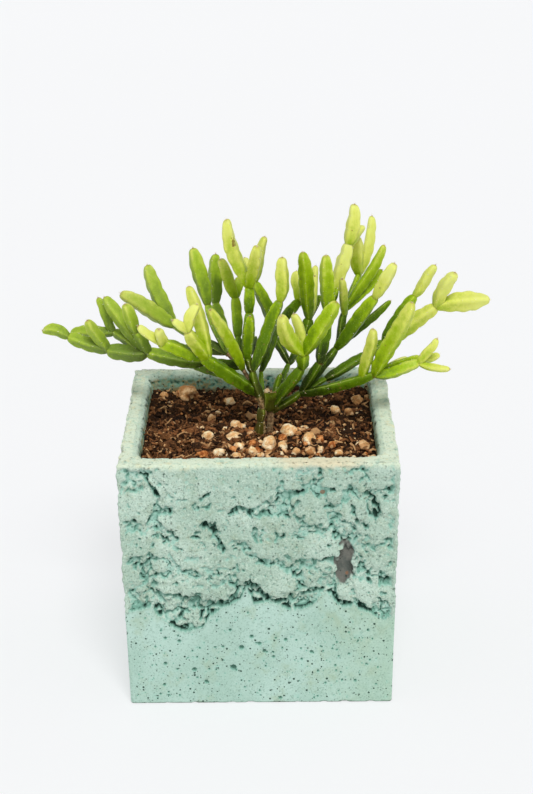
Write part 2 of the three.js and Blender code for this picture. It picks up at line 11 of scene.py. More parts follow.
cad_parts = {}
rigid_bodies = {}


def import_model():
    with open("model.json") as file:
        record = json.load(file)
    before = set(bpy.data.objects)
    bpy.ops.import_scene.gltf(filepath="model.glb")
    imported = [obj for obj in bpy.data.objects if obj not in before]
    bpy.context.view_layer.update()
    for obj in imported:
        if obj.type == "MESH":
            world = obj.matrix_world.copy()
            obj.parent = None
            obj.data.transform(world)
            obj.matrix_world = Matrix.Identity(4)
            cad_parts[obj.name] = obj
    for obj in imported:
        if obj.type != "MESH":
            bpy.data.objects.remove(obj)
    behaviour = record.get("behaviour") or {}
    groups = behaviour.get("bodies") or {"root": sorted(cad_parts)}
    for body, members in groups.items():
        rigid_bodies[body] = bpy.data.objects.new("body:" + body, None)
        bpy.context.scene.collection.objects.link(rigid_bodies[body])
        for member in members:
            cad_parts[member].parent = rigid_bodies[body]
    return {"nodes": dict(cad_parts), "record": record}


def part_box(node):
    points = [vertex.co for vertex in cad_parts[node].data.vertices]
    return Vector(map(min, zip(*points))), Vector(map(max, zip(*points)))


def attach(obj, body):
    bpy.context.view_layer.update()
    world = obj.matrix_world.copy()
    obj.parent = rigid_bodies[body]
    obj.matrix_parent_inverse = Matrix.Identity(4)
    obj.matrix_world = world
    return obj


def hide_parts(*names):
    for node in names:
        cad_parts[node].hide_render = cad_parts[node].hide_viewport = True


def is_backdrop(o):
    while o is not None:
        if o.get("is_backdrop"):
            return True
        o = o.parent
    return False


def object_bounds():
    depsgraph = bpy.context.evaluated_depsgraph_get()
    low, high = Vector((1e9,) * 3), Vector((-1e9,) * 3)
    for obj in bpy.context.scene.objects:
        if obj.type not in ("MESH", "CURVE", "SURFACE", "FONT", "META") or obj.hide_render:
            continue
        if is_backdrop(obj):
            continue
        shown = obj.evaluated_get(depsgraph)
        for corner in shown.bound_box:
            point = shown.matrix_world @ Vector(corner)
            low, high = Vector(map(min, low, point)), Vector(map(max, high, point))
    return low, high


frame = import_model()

SOLID_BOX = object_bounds()
MM = 0.001
UP = Vector((0, 0, 1))
noise.seed_set(5)  # noise_vector would be seeded with the time otherwise

# The pot, as its solid has it
RIM, FOOT, HEIGHT = 110, 106, 105.5
CAVITY_TOP, CAVITY_FOOT, CAVITY_SHIFT, FLOOR = 94.6, 91, 1, 9
DRAIN_RADIUS, DRAIN_OFFSET = 3.5, 20
SOIL_TOP, SOIL_FOOT, ROOT_DEPTH = 98, 9.3, 12

# Rough upper part of the front face: its lower edge, as (across, height)
ROUGH_EDGE = (
    (-54, 41), (-46, 42.5), (-43, 43), (-41, 39.5), (-37, 36), (-33, 32.6), (-30, 32), (-23, 34), (-20, 38.5),
    (-16, 42), (-10, 45), (-8, 46.5), (-5.5, 51), (-3.5, 48), (-2.5, 44.5), (5, 44.5), (9, 42.5), (12, 41.5),
    (17, 42), (21, 44), (24, 47.5), (26.5, 49), (29, 46), (32, 43), (36, 42.5), (37.5, 44), (39, 42), (43.5, 40),
    (47, 37.5), (50, 37), (54, 40),
)
# Cracks and dark pits of the front face: half width, depth, places
FRONT_CRACKS = (
    (0.9, 4, ((-44.7, 101.2), (-42.9, 98.7), (-41.1, 95.7), (-39.6, 92.4))),
    (0.7, 2.5, ((-40.9, 85.4), (-40.5, 82.8))), (0.9, 2.5, ((-41.8, 78.8), (-38.3, 77.7))),
    (1.3, 3.5, ((-38.4, 74.7), (-35.6, 72.5))), (0.5, 1.8, ((-51.1, 79.9), (-48.6, 78.4), (-45.5, 75.8))),
    (0.8, 1.4, ((-35.3, 71), (-30.9, 68.8))), (1.9, 4.2, ((-20.6, 79), (-18.9, 78.4), (-17.6, 76))),
    (0.9, 2.8, ((-16.4, 74), (-15, 71), (-14, 68.1))),
    (0.8, 3, ((-11, 83.9), (-8.3, 86.9), (-5.8, 86.5), (-2.6, 82.5))),
    (1.3, 3.2, ((-49.4, 61.5), (-45.4, 62.2), (-41.7, 65.2))),
    (1.2, 3.2, ((-45.5, 61.5), (-46.3, 57.4), (-44.7, 55.9))),
    (1.1, 4.6, ((-25.8, 46), (-23.6, 43.8), (-23.3, 38.6))),
    (1.5, 3, ((-17.3, 44.4), (-13.3, 45.2), (-10.4, 46.4))),
    (1, 4.2, ((-42.3, 43.8), (-39.7, 42.3), (-39.5, 39.7))), (0.8, 2.2, ((-46.1, 41.2), (-46.1, 39.8))),
    (1.1, 3.8, ((-35.4, 35.3), (-32.8, 33.9), (-29.6, 33))),
    (0.9, 3.6, ((-9.2, 51.2), (-6.6, 51.8), (-3.3, 51.9), (0.2, 49.7))), (1.4, 4.2, ((-2.8, 46.9), (0.1, 45.4))),
    (0.7, 2, ((-52, 46.7), (-51.6, 49.3))), (1.4, 2.4, ((-49.5, 43.4), (-43.6, 44.2), (-45.1, 47.5))),
    (0.9, 1.7, ((-50.4, 95), (-47.3, 93.9), (-45.2, 96.5))), (0.6, 2, ((-22, 90.9), (-19.7, 93.5))),
    (0.6, 1.6, ((-25.3, 88), (-24.7, 86.5))), (0.9, 1.2, ((-10.6, 72.5), (-7.4, 72.2))),
    (0.7, 1.3, ((-8.6, 62.2), (-8.7, 57.8))), (0.5, 1.8, ((19.5, 105.7), (20.8, 103.5), (21.5, 99))),
    (1, 2.6, ((21.4, 98.6), (21.5, 97.4))), (1, 1.6, ((8.9, 97.6), (9.5, 95.4))),
    (1, 2.1, ((17.2, 95.4), (16.5, 92.4))), (0.8, 2.8, ((9.3, 87.6), (12.6, 87.6), (14.3, 86.4))),
    (1.1, 4.6, ((43.1, 92.4), (44.7, 89.5), (46.3, 85), (45.4, 82.8))),
    (0.7, 2.4, ((36.4, 87.3), (37.3, 83.6), (38.9, 79.9), (42.2, 78))),
    (0.7, 1.9, ((15.2, 88.7), (13.2, 85), (15.1, 81.4), (18.9, 79.2), (24.7, 77.3))),
    (0.7, 2.2, ((24.7, 77.3), (28.6, 76.2), (30.6, 82.8))), (1, 3.8, ((28.6, 77.7), (30.5, 74), (32.4, 72.2))),
    (0.7, 2.6, ((32.2, 80.6), (35.7, 79.9), (38.3, 77.7))), (1.2, 2, ((-1.5, 76.9), (-0.9, 72.5))),
    (1, 2.2, ((6.6, 75.8), (8.8, 74))), (0.5, 1.8, ((14.3, 74), (17.9, 73.8))),
    (0.7, 1.7, ((10.3, 66.6), (12.2, 63.7))), (1.3, 2.1, ((9.6, 60.7), (12.1, 59.3), (14.4, 60.7))),
    (1.2, 2.8, ((42.8, 57.8), (43.5, 54.1))), (1.2, 2.6, ((48, 57.4), (50, 56.3))),
    (1.7, 4.2, ((-3.7, 53.4), (0.2, 49), (2.7, 46.8), (7.3, 45.5), (11.9, 43.4))),
    (1.1, 4.2, ((-3.8, 46.4), (-1.9, 44.8))), (1.3, 3.2, ((15.9, 46), (20.5, 50.6), (22.5, 49.6), (24.4, 50.5))),
    (0.8, 4.6, ((28, 49.6), (29.7, 47), (32, 44.4))), (0.8, 4, ((33.9, 44.3), (36.1, 44.3))),
    (0.6, 3, ((39.8, 44.6), (40.7, 43))), (1.2, 2.4, ((41.5, 41.8), (46.1, 39.4))),
    (0.8, 1.7, ((39.6, 97.6), (41.5, 101.2), (42.2, 103.5))), (1.4, 3.4, ((33.1, 71), (36, 69.2), (35.7, 66.6))),
    (0.9, 1.6, ((51.9, 71.8), (53.9, 66.6))), (0.9, 1.9, ((40.2, 72.5), (42.2, 71), (46, 68.1))),
    (1, 2, ((38, 64), (40.5, 61), (41, 57))), (0.9, 1.8, ((22, 60), (26, 57), (31, 57.5))),
)
# Ledges of the front face: how far the recess under them runs out, its depth, places.
# The recess lies on the right hand of the way from the first place to the last.
FRONT_LEDGES = (
    (3.2, 1.5, ((-39.4, 97.2), (-35.7, 94.3), (-31.3, 91.3), (-28.1, 90.9))),
    (2.2, 1.1, ((-30.3, 66.3), (-25.1, 65.5))),
    (3, 1.8, ((-33, 64.1), (-29.9, 59.3), (-26.7, 57.4), (-20.2, 56.3))),
    (2.6, 1.3, ((-20.9, 54.1), (-15.7, 53.7), (-11.8, 51.9))),
    (3.6, 4, (
        (-39.4, 50.8), (-36.1, 50.1), (-31.6, 48.4), (-25.1, 47.1), (-22.5, 45.6), (-17.3, 45.4), (-12, 47.1),
        (-9.8, 50.4),
    )),
    (2, 1.1, ((-10.1, 66.6), (-6.2, 67.4), (-1.7, 67.4))), (2.4, 1.2, ((-24, 62), (-17, 61), (-12, 60.6))),
    (2.4, 3, ((0.2, 50.4), (4.8, 48.2), (9.3, 46.9), (14.6, 49.7), (15.4, 56.3))),
    (2, 1.6, ((14.8, 64.4), (22.6, 63.7), (30.4, 65.2), (32.1, 71.8))),
    (2, 1.8, ((38.2, 46), (41.5, 42.6), (47.4, 42), (53.3, 43.3))),
    (2, 1.6, ((46.4, 83), (42.6, 78), (38.6, 79.6))),
)
# Hollows: across, height, half width, half height, depth
FRONT_HOLLOWS = (
    (34.2, 65.4, 2.4, 4.2, 4.4), (33.2, 59.4, 3.3, 5.8, 4.4), (24.9, 93.1, 2.4, 2.3, 2.8),
    (-13.5, 78.5, 1.5, 1.0, 1.2), (7.0, 81.5, 1.3, 1.0, 1.4), (50.0, 90.0, 1.3, 2.2, 1.6),
)
# Flat slabs of the front face: across, height, half width, half height, depth. Loose crumbs lie between them.
FRONT_SLABS = (
    (-24, 96, 19, 11, 0.15), (-3, 97, 12, 10, 0.2), (-25, 82, 13, 7.5, 0.3), (-49, 71, 6.5, 6, 0.5),
    (-48.5, 88, 7, 8, 0.35), (-24, 66, 13.5, 7.5, 0.2), (-9, 62.5, 8.5, 6.5, 0.4), (-28, 53, 15.5, 4.8, 0),
    (-14, 50.5, 6.5, 4, 0.1), (3.5, 54.5, 11.5, 6.8, 0.1), (6, 69.5, 13, 5.4, 0.25), (22, 69.5, 9.5, 6, 0.1),
    (19, 84, 7.5, 7.5, 0.15), (37.5, 85, 5.2, 5.6, 0.1), (46.5, 66, 5.5, 6.5, 0.5), (47, 77.5, 6, 5, 0.5),
    (42.5, 49.5, 5, 6.5, 0.2), (50.5, 49, 3.6, 5, 0.5), (30.5, 99, 6, 5.5, 0.4), (47.5, 99.5, 6, 5, 0.4),
    (39.5, 99, 2, 5, 0.8), (7, 79, 7, 4.5, 0.5), (-6, 77.5, 8.5, 7, 0.3), (-51, 57.5, 4, 5.5, 0.6),
    (-38, 69, 4.6, 4.2, 0.5), (20, 55.5, 4.5, 3.6, 0.7), (29, 91, 3.6, 3.2, 0.3), (50.5, 86, 3, 4.5, 0.2),
    (40, 73, 2.6, 2.4, 0.9), (51.5, 60, 2.5, 3.5, 0.2), (26.5, 60.5, 4.5, 3.6, 0.6), (13, 99, 5, 5, 0.5),
    (-38, 62, 4, 3.5, 0.7), (33, 49.5, 3, 3.4, 0.6),
)
# Round air holes of the smooth foot: across, height, radius
BUG_HOLES = (
    (-7.6, 25.4, 1.0), (-0.4, 27.2, 0.8), (-3.5, 30.4, 0.8), (-11, 16.3, 1.2), (-26.7, 15.5, 0.9),
    (-38.3, 18.4, 0.7), (-22, 9.9, 0.8), (-39, 8.7, 0.6), (7.8, 2.2, 0.7), (10.1, 28.9, 0.7), (5.2, 21.2, 0.6),
    (20.4, 23.3, 0.7), (-15, 26, 0.5), (23, 14.5, 0.5), (-12, 33.5, 0.6), (-38, 30, 0.6), (-32.5, 28.6, 0.7),
    (1.5, 24, 0.7), (16.5, 20, 0.5), (30, 17, 0.5), (43, 33, 0.5), (38, 10, 0.6), (26, 9, 0.5),
)

# The plant, one row for each stem segment:
# name, grows from, tip x, y, z, widest width, paleness, bend to the right (0), start along its parent (1)
PLANT = {
    "trunk_left": (
        ("base", None, 1, -6, 104.5, 5.2, -0.2), ("stem", "base", 1.5, -6, 110, 4.3, -0.08),
        ("twig_1", "stem", -1, -4, 116, 1.9, 0), ("twig_2", "twig_1", -3.5, -3, 121, 1.9, 0),
        ("twig_3", "twig_2", -7, -2, 126.5, 2, 0), ("neck", "stem", -2.5, -5, 126, 4.1, 0.02),
        ("fork", "neck", -4.5, -3.5, 131, 4.1, 0.0),
    ),
    "trunk_right": (
        ("strand", None, 5, -3, 109, 3.1, 0), ("stub", "strand", 4.6, -8.4, 117.6, 7.6, 0.02),
        ("sprout", "strand", 9, 1, 122, 3.3, 0.3), ("arm", "strand", 17.5, -1, 115, 3.7, 0.1, 0, 0.9),
    ),
    "low_left": (
        ("low_1", "twig_1", -22.5, -15, 135.5, 6.3, 0.3), ("low_2", "low_1", -39, -19, 143, 5.7, 0.55),
        ("low_3", "low_2", -47, -19, 150, 4.1, 1), ("low_4", "low_2", -38.5, -23, 150, 4.7, 0.95, 0, 0.92),
        ("low_5", "low_1", -27.5, -22, 149, 5.8, 0.75, 0, 0.93), ("low_6", "low_5", -33, -24, 154, 3.9, 1),
        ("low_7", "low_5", -23.5, -21, 159.5, 5.3, 0.98, -0.8),
        ("low_8", "low_1", -27, -12, 164, 5.7, 0.86, 0.9, 0.88),
        ("low_9", "twig_2", -27, 12, 121.5, 3.7, 0.15),
    ),
    "far_left": (
        ("far_1", "twig_3", -22, 3, 127, 4.8, 0.2), ("far_2", "far_1", -46, 8, 129.5, 6.1, 0.32, -0.8),
        ("far_3", "far_2", -62.5, 10, 130, 6.9, 0.3, -0.8), ("far_4", "far_3", -78.5, 12, 135.5, 5.7, 0.48, -0.3),
        ("far_5", "far_4", -89, 14, 137.5, 5.1, 0.6, 1.6), ("far_6", "far_3", -69.5, 5, 144.5, 5.3, 0.6),
        ("far_7", "far_2", -60, 17, 135.5, 5.2, 0.35), ("far_8", "far_7", -78.5, 23, 133, 5.3, 0.55, 0.5),
        ("far_9", "far_7", -66, 18, 150, 4.4, 0.55), ("far_10", "far_2", -63, 14, 151.5, 6.3, 0.55),
        ("far_11", "far_2", -49.5, 2, 141, 5.1, 0.35, 0, 0.96), ("far_12", "far_11", -53.5, 0, 153, 5.6, 0.62),
    ),
    "upper_left": (
        ("high_1", "twig_3", -13, 8, 129, 2, 0), ("high_2", "high_1", -32, 20, 127.5, 3.7, 0.1),
        ("high_3", "high_1", -36, 27, 135, 4.2, 0.15, 0, 0.9), ("high_4", "high_3", -57, 24, 150, 7.6, 0.72, 0.6),
        ("high_5", "high_3", -46.5, 34, 159, 6.9, 0.58, -0.6), ("high_6", "high_1", -21, 17, 147.5, 4.3, 0.3, -0.6),
        ("high_7", "high_6", -26.5, 21, 170, 6.7, 0.55, 0.2), ("high_8", "high_1", -18, 25, 145, 5.2, 0.3, 0.7, 0.95),
        ("high_9", "high_8", -17.5, 29, 165, 6, 0.5),
    ),
    "mid_left": (
        ("mid_1", "twig_3", -18.5, -16, 155.5, 5.9, 0.7, 0.8, 0.9), ("mid_2", "twig_3", -8.5, 12, 134.5, 3.7, 0.05),
        ("mid_3", "mid_2", -9.5, 18, 150, 4.9, 0.42), ("mid_4", "mid_3", -15, 15, 167, 5.8, 0.7),
        ("mid_5", "mid_3", -8, 22, 157, 4.6, 0.65),
    ),
    "centre": (
        ("centre_1", "fork", -3.5, 3, 148, 6, 0.22), ("centre_2", "centre_1", -3.5, 6, 158, 4.9, 0.4),
        ("centre_3", "centre_2", -12, 3, 187, 6.2, 0.88, -1.6), ("centre_4", "centre_2", 0, -3, 177.5, 5.8, 0.8, 0.4),
        ("centre_5", "fork", -3, -8, 150, 5, 0.4, 0, 0.9), ("centre_6", "fork", -1, 13, 134, 2.9, 0.05),
        ("centre_7", "neck", 9, 0, 154, 6, 0.3), ("centre_8", "centre_7", 10, 0, 172, 5.8, 0.85, 0.6),
    ),
    "back": (
        ("back_1", "stem", 1, 4, 122.5, 2.3, 0.2), ("back_2", "back_1", 9, 15, 140, 3.7, 0.2),
        ("back_3", "back_2", 17, 24, 146, 4.6, 0.2), ("back_4", "back_3", 16, 30, 157, 5.6, 0.85, 0.3),
    ),
    "front_right": (
        ("front_1", "strand", 17.5, -13, 130, 5.3, 0.2, -0.5, 0.95),
        ("front_2", "front_1", 18.5, -16, 137, 5.2, 0.35), ("front_3", "front_2", 31, -23, 160.5, 6.9, 0.6),
        ("front_4", "front_2", 9.5, -26, 156, 6.5, 0.8, -2.2),
        ("front_5", "front_2", 14.5, -16, 153.5, 4.8, 0.9, 0.8),
    ),
    "back_right": (
        ("rear_1", "strand", 12.5, 10, 123.5, 2.9, 0.1), ("rear_2", "rear_1", 18, 15, 130, 3.5, 0.1),
        ("rear_3", "rear_2", 21, 16, 141, 5, 0.1), ("rear_4", "rear_3", 18.5, 12, 170.5, 6, 0.55, 0.2),
        ("rear_5", "rear_3", 25.5, 26, 147.5, 3.7, 0.1), ("rear_6", "rear_3", 24, 29, 159.5, 4.7, 0.9, 0.3),
        ("rear_7", "rear_1", 5, 21, 134.5, 3.7, 0.15), ("rear_8", "rear_7", -1.5, 24, 154.5, 5.6, 0.4, 1.6),
        ("rear_9", "rear_8", 3, 23, 174, 4.6, 0.85), ("rear_10", "rear_8", -5.5, 30, 163, 4.3, 0.9),
    ),
    "upper_right": (
        ("tall_1", "arm", 25, -3, 128.5, 4.1, 0.1), ("tall_2", "tall_1", 28, 1, 148.5, 5.5, 0.25, 0.2),
        ("tall_3", "tall_2", 27.5, -3, 173.5, 6.2, 0.62, 0.2), ("tall_4", "tall_2", 32, 13, 154.5, 4.2, 0.4),
        ("tall_5", "tall_4", 37, 16, 173, 5.9, 1.08), ("tall_6", "tall_5", 39.5, 17, 189, 6, 0.95, 0.7),
        ("tall_7", "tall_4", 33.5, 25, 165, 3.3, 0.9), ("tall_8", "tall_5", 43.5, 23, 178, 4.6, 0.9),
    ),
    "right": (
        ("slant_1", "arm", 32, 6, 131.5, 4.5, 0.05), ("slant_2", "slant_1", 36, 13, 146, 3.5, 0.1),
        ("slant_3", "slant_2", 34, 1, 162.5, 3.9, 0.8, 0, 0.85),
        ("slant_4", "slant_2", 51.5, 14, 172.5, 4.8, 0.6, 0.6), ("slant_5", "slant_2", 51, 21, 160, 5, 0.55, 0.4),
        ("slant_6", "slant_2", 42, 29, 156, 3.7, 0.4), ("slant_7", "slant_6", 41, 26, 172.5, 6.2, 0.85, -0.5),
        ("slant_8", "slant_6", 47.5, 35, 179, 4.9, 1.0, 1.2), ("slant_9", "slant_1", 47.5, 2, 154.5, 6.4, 0.42),
        ("slant_10", "slant_9", 55, 0, 169, 5.7, 1.0),
        ("slant_11", "slant_1", 54.5, 18, 147.5, 3.8, 0.2, -0.2, 0.93),
    ),
    "low_right": (
        ("level_1", "arm", 47, -7, 124.5, 4.9, 0.2, 0.8, 0.93),
        ("level_2", "level_1", 46, -12, 145.5, 5.2, 0.85, 0.5, 0.83), ("level_3", "level_1", 61, -17, 158, 7, 0.72),
        ("level_4", "level_1", 65, -6, 129, 5.2, 0.62, 1), ("level_5", "level_1", 65.5, 3, 128.5, 4, 0.5, -0.4),
        ("level_6", "level_1", 61, 10, 125.5, 3.4, 0.9), ("level_7", "level_4", 72, -7, 139.5, 3.9, 0.95),
        ("level_8", "level_4", 73.5, 2, 129.5, 4.2, 0.85), ("level_9", "level_4", 77, -10, 127.5, 3.5, 0.9, 0.8),
    ),
    "far_right": (
        ("right_1", "arm", 27.5, 6, 118, 3.7, 0.15), ("right_2", "right_1", 45, 12, 126.5, 4.6, 0.25),
        ("right_3", "right_2", 52, 15, 130.5, 4.8, 0.3), ("right_4", "right_3", 65, 25, 147.5, 5.4, 0.4, -0.6),
        ("right_5", "right_4", 73.5, 27, 160, 4.9, 1, 0.1), ("right_6", "right_3", 73, 12, 147, 6.5, 0.8, 0.3),
        ("right_7", "right_6", 80, 8, 162.5, 5.9, 1, -1), ("right_8", "right_6", 95, 16, 148.5, 7.9, 1, -0.6),
    ),
}
WOODY = ("twig_1", "twig_2", "twig_3", "strand", "high_1")
STARTS = {"base": (-0.8, -5.5), "strand": (3.5, -4.5)}
AGED = {"base": 0.36, "stem": 0.3, "neck": 0.14, "fork": 0.1, "stub": 0.2, "arm": 0.12}
HAIRY = {"right_2": (0.2,), "slant_1": (0.15, 0.45), "level_1": (0.1, 0.4), "far_11": (0.3,), "front_1": (0.7,)}
SINK = 0.9  # how far a segment is rooted in the one that carries it


# Camera, at the photograph's place
CAMERA_PLACE = (9.1, -727.77, 389.56)
CAMERA_DOWN, CAMERA_LEFT, CAMERA_TILT = 20.839, 0.469, 0.669
CAMERA_LENS = 86


def add_object(name, data):
    made = bpy.data.objects.new(name, data)
    bpy.context.scene.collection.objects.link(made)
    return made


def aim_camera():
    down, left, tilt = (math.radians(a) for a in (CAMERA_DOWN, CAMERA_LEFT, CAMERA_TILT))
    ahead = Vector((-math.sin(left) * math.cos(down), math.cos(left) * math.cos(down), -math.sin(down)))
    side = ahead.cross(UP).normalized()
    top = side.cross(ahead)
    right = side * math.cos(tilt) - top * math.sin(tilt)
    up = top * math.cos(tilt) + side * math.sin(tilt)
    data = bpy.data.cameras.new("photo_camera")
    data.lens = CAMERA_LENS
    data.sensor_width = 36
    camera = add_object("photo_camera", data)
    turn = Matrix((right, up, -ahead)).transposed().to_4x4()
    camera.matrix_world = Matrix.Translation(Vector(CAMERA_PLACE) * MM) @ turn
    bpy.context.scene.camera = camera


# Materials
def tint(red, green, blue):
    """A colour given as it looks on a screen, 0 to 255, as the shaders take it."""
    shares = [c / 255 for c in (red, green, blue)]
    return tuple(c / 12.92 if c <= 0.04045 else ((c + 0.055) / 1.055) ** 2.4 for c in shares) + (1.0,)


class Value:
    """One number that a material's nodes give. Arithmetic on it adds Math nodes."""

    def __init__(self, finish, socket):
        self.finish = finish
        self.socket = socket

    def joined(self, operation, first, second):
        return self.finish.node("Math", {"operation": operation}, {0: first, 1: second})

    def __add__(self, other):
        return self.joined("ADD", self, other)

    def __sub__(self, other):
        return self.joined("SUBTRACT", self, other)

    def __rsub__(self, other):
        return self.joined("SUBTRACT", other, self)

    def __mul__(self, other):
        return self.joined("MULTIPLY", self, other)

    __radd__ = __add__
    __rmul__ = __mul__

    def most(self, other):
        return self.joined("MAXIMUM", self, other)

    def least(self, other):
        return self.joined("MINIMUM", self, other)

    def ramp(self, low, high, first=0.0, last=1.0):
        """Runs smoothly from first to last as the value goes from low to high."""
        return self.finish.node(
            "MapRange", {"interpolation_type": "SMOOTHSTEP"}, {0: self, 1: low, 2: high, 3: first, 4: last}
        )


class Finish:
    """A material under construction."""

    def __init__(self, name, **uniform):
        self.material = bpy.data.materials.new(name)
        self.material.use_nodes = True
        self.tree = self.material.node_tree
        self.tree.nodes.clear()
        output = self.tree.nodes.new("ShaderNodeOutputMaterial")
        self.shader = self.tree.nodes.new("ShaderNodeBsdfPrincipled")
        self.tree.links.new(self.shader.outputs[0], output.inputs[0])
        for name, value in uniform.items():
            self.shader.inputs[name.replace("_", " ")].default_value = value
        self.place = self.node("TexCoord", {}, {}, "Object")

    def node(self, kind, settings, sockets, output=0):
        """Adds a node with its settings and sockets, and gives one of its outputs."""
        made = self.tree.nodes.new("ShaderNode" + kind)
        for key, value in settings.items():
            setattr(made, key, value)
        for key, value in sockets.items():
            if isinstance(value, Value):
                self.tree.links.new(value.socket, made.inputs[key])
            else:
                made.inputs[key].default_value = value
        return Value(self, made.outputs[output])

    def noise(self, size, detail=2.0, roughness=0.5, place=None):
        """Clouds of about the given size in millimetres, around 0.5."""
        sockets = {"Vector": place or self.place, "Scale": 1 / (size * MM), "Detail": detail, "Roughness": roughness}
        return self.node("TexNoise", {}, sockets)

    def cells(self, size, output="Distance"):
        """Scattered cells of about the given size in millimetres."""
        return self.node("TexVoronoi", {}, {"Vector": self.place, "Scale": 1 / (size * MM)}, output)

    def attribute(self, name):
        return self.node("Attribute", {"attribute_name": name}, {}, "Fac")

    def axes(self):
        """The place across, in depth and in height, in millimetres."""
        return [self.node("SeparateXYZ", {}, {0: self.place}, axis) * (1 / MM) for axis in "XYZ"]

    def mix(self, share, first, second):
        return self.node("Mix", {"data_type": "RGBA"}, {0: share, 6: first, 7: second}, 2)

    def coats(self, colour, *coats):
        """Lays coats over a colour one after another, each given by how much of it covers and its own colour."""
        for share, coat in coats:
            colour = self.mix(share, colour, coat)
        return colour

    def bump(self, height, distance, strength):
        return self.node("Bump", {}, {"Strength": strength, "Distance": distance * MM, "Height": height})

    def wear(self, **links):
        for name, value in links.items():
            self.tree.links.new(value.socket, self.shader.inputs[name.replace("_", " ")])
        return self.material


def concrete_finish():
    finish = Finish("mint_concrete", Specular_IOR_Level=0.25, Diffuse_Roughness=0.6)
    recess, rough, inner = (finish.attribute(name) for name in ("recess", "rough", "inner"))
    across, depth, height = finish.axes()
    cloud, blotch = finish.noise(26, 3), finish.noise(7, 4, 0.6)
    sand, stain = finish.noise(0.75, 2, 0.75), finish.noise(3.2, 4, 0.65)
    face = finish.coats(
        finish.mix(cloud.ramp(0.35, 0.65), tint(164, 193, 180), tint(176, 203, 192)),
        ((across + (blotch - 0.5) * 60).ramp(5, 60) * 0.45, tint(160, 187, 160)),
    )
    sandy = finish.mix(cloud.ramp(0.4, 0.65), tint(174, 198, 182), tint(192, 213, 199))
    wall = finish.coats(
        finish.mix(stain.ramp(0.44, 0.6), tint(136, 172, 150), tint(158, 142, 96)),
        (finish.noise(2.4, 3, 0.6).ramp(0.52, 0.66) * 0.7, tint(78, 148, 128)),
    )
    colour = finish.coats(
        finish.mix(rough, face, sandy),
        (inner * height.ramp(104.4, 102.4), wall),
        (blotch.ramp(0.5, 0.72) * 0.6, tint(160, 181, 157)),
        (sand.ramp(0.54, 0.68) * (rough * 0.2 + 0.5), tint(112, 142, 124)),
        (finish.noise(1.3, 2, 0.7).ramp(0.55, 0.7) * rough * 0.4, tint(160, 168, 138)),
        (sand.ramp(0.45, 0.32) * (rough * 0.4 + 0.14), tint(222, 234, 220)),
        # Painted shade in recesses and air holes: shallow ones turn a light teal, partly the concrete's own tint and
        # partly painted reflected light; deeper ones turn darker teal, then dark green
        (recess.ramp(0.02, 0.2) * (rough * 0.4 + 0.15), tint(154, 207, 193)),
        (recess.ramp(0.18, 0.5) * 0.62, tint(108, 166, 146)),
        (recess.ramp(0.5, 0.95) * 0.88, tint(36, 70, 58)),
    )

    def spot(x, z, wide, tall, *edge):
        """An oval on the upright faces, 1 inside it and 0 outside."""
        x, z = (across - x) * (1 / wide), (height - z) * (1 / tall)
        return (x * x + z * z).ramp(*edge)

    # Grey, smooth bottom of the largest hollow, and two rusty specks, on the front face alone
    front = depth.ramp(-42, -44)
    grey = finish.mix(blotch.ramp(0.4, 0.6), tint(92, 98, 92), tint(124, 124, 116))
    colour = finish.mix(spot(33.6, 62, 4.4, 10, 1.1, 0.8) * depth.ramp(-52.6, -51) * front, colour, grey)
    for place in ((34.6, 56.6, 0.7, 0.9), (24.9, 92.7, 1.1, 1)):
        speck = spot(*place, 1.1, 0.6) * depth.ramp(-53.6, -52.6) * front
        colour = finish.mix(speck * 0.85, colour, tint(150, 114, 88))
    # Paler rim, with a warm stain at the front
    beside = across - 24
    rim = finish.coats(
        finish.mix(stain.ramp(0.5, 0.7), tint(216, 228, 207), tint(218, 218, 184)),
        (sand.ramp(0.54, 0.7) * 0.32, tint(156, 172, 142)),
        (sand.ramp(0.46, 0.3) * 0.4, tint(226, 234, 216)),
        (finish.noise(4, 4, 0.65).ramp(0.54, 0.68) * 0.6, tint(156, 194, 176)),
        ((beside * beside + (blotch - 0.5) * 500).ramp(420, 60) * depth.ramp(-44, -48) * 0.75, tint(226, 214, 182)),
        (finish.noise(1.7, 3, 0.7).ramp(0.58, 0.72) * 0.6, tint(112, 146, 120)),
    )
    on_rim = (height + (blotch - 0.5) * 5).ramp(102.8, 105.2) * (1 - inner * 0.4) * recess.ramp(0.5, 0.2)
    # Open pores: scattered pinholes, dented by the bump and darkened with painted shade
    pore = 0.0
    for size, reach in ((1.1, 0.29), (1.9, 0.28), (3.8, 0.17)):
        pick = finish.node("SeparateColor", {}, {0: finish.cells(size, "Color")}, 0)
        pore = ((pick * (1.7 * reach) - 0.7 * reach - finish.cells(size)) * (7 * size)).most(pore).least(1.0)
    colour = finish.coats(
        colour,
        (on_rim, rim),
        # Painted contact shadow along the foot's lower edge, partly dirt, damp above the soil, and painted shade in
        # the open pores
        ((height - (blotch - 0.5) * 1.6).ramp(0.85, 0.25) * 0.8, tint(62, 84, 66)),
        (inner * (height + stain * 5).ramp(101.6, 99.6) * 0.75, tint(132, 102, 58)),
        (pore * (0.95 - rough * 0.45) * height.ramp(103.6, 105.0, 1, 0.3), tint(44, 76, 62)),
    )
    top = height.ramp(103.6, 105.0)
    dents = finish.noise(0.34, 2, 0.6) * (rough * 0.8 + 0.15).most(top)
    lumps = finish.noise(1.3, 3, 0.65) * (rough * 0.9 + 0.05).most(top)
    normal = finish.bump(dents + lumps * 1.6 - pore * 1.4, 0.4, 1.0)
    return finish.wear(Base_Color=colour, Roughness=sand.ramp(0, 1, 0.86, 0.97), Normal=normal)


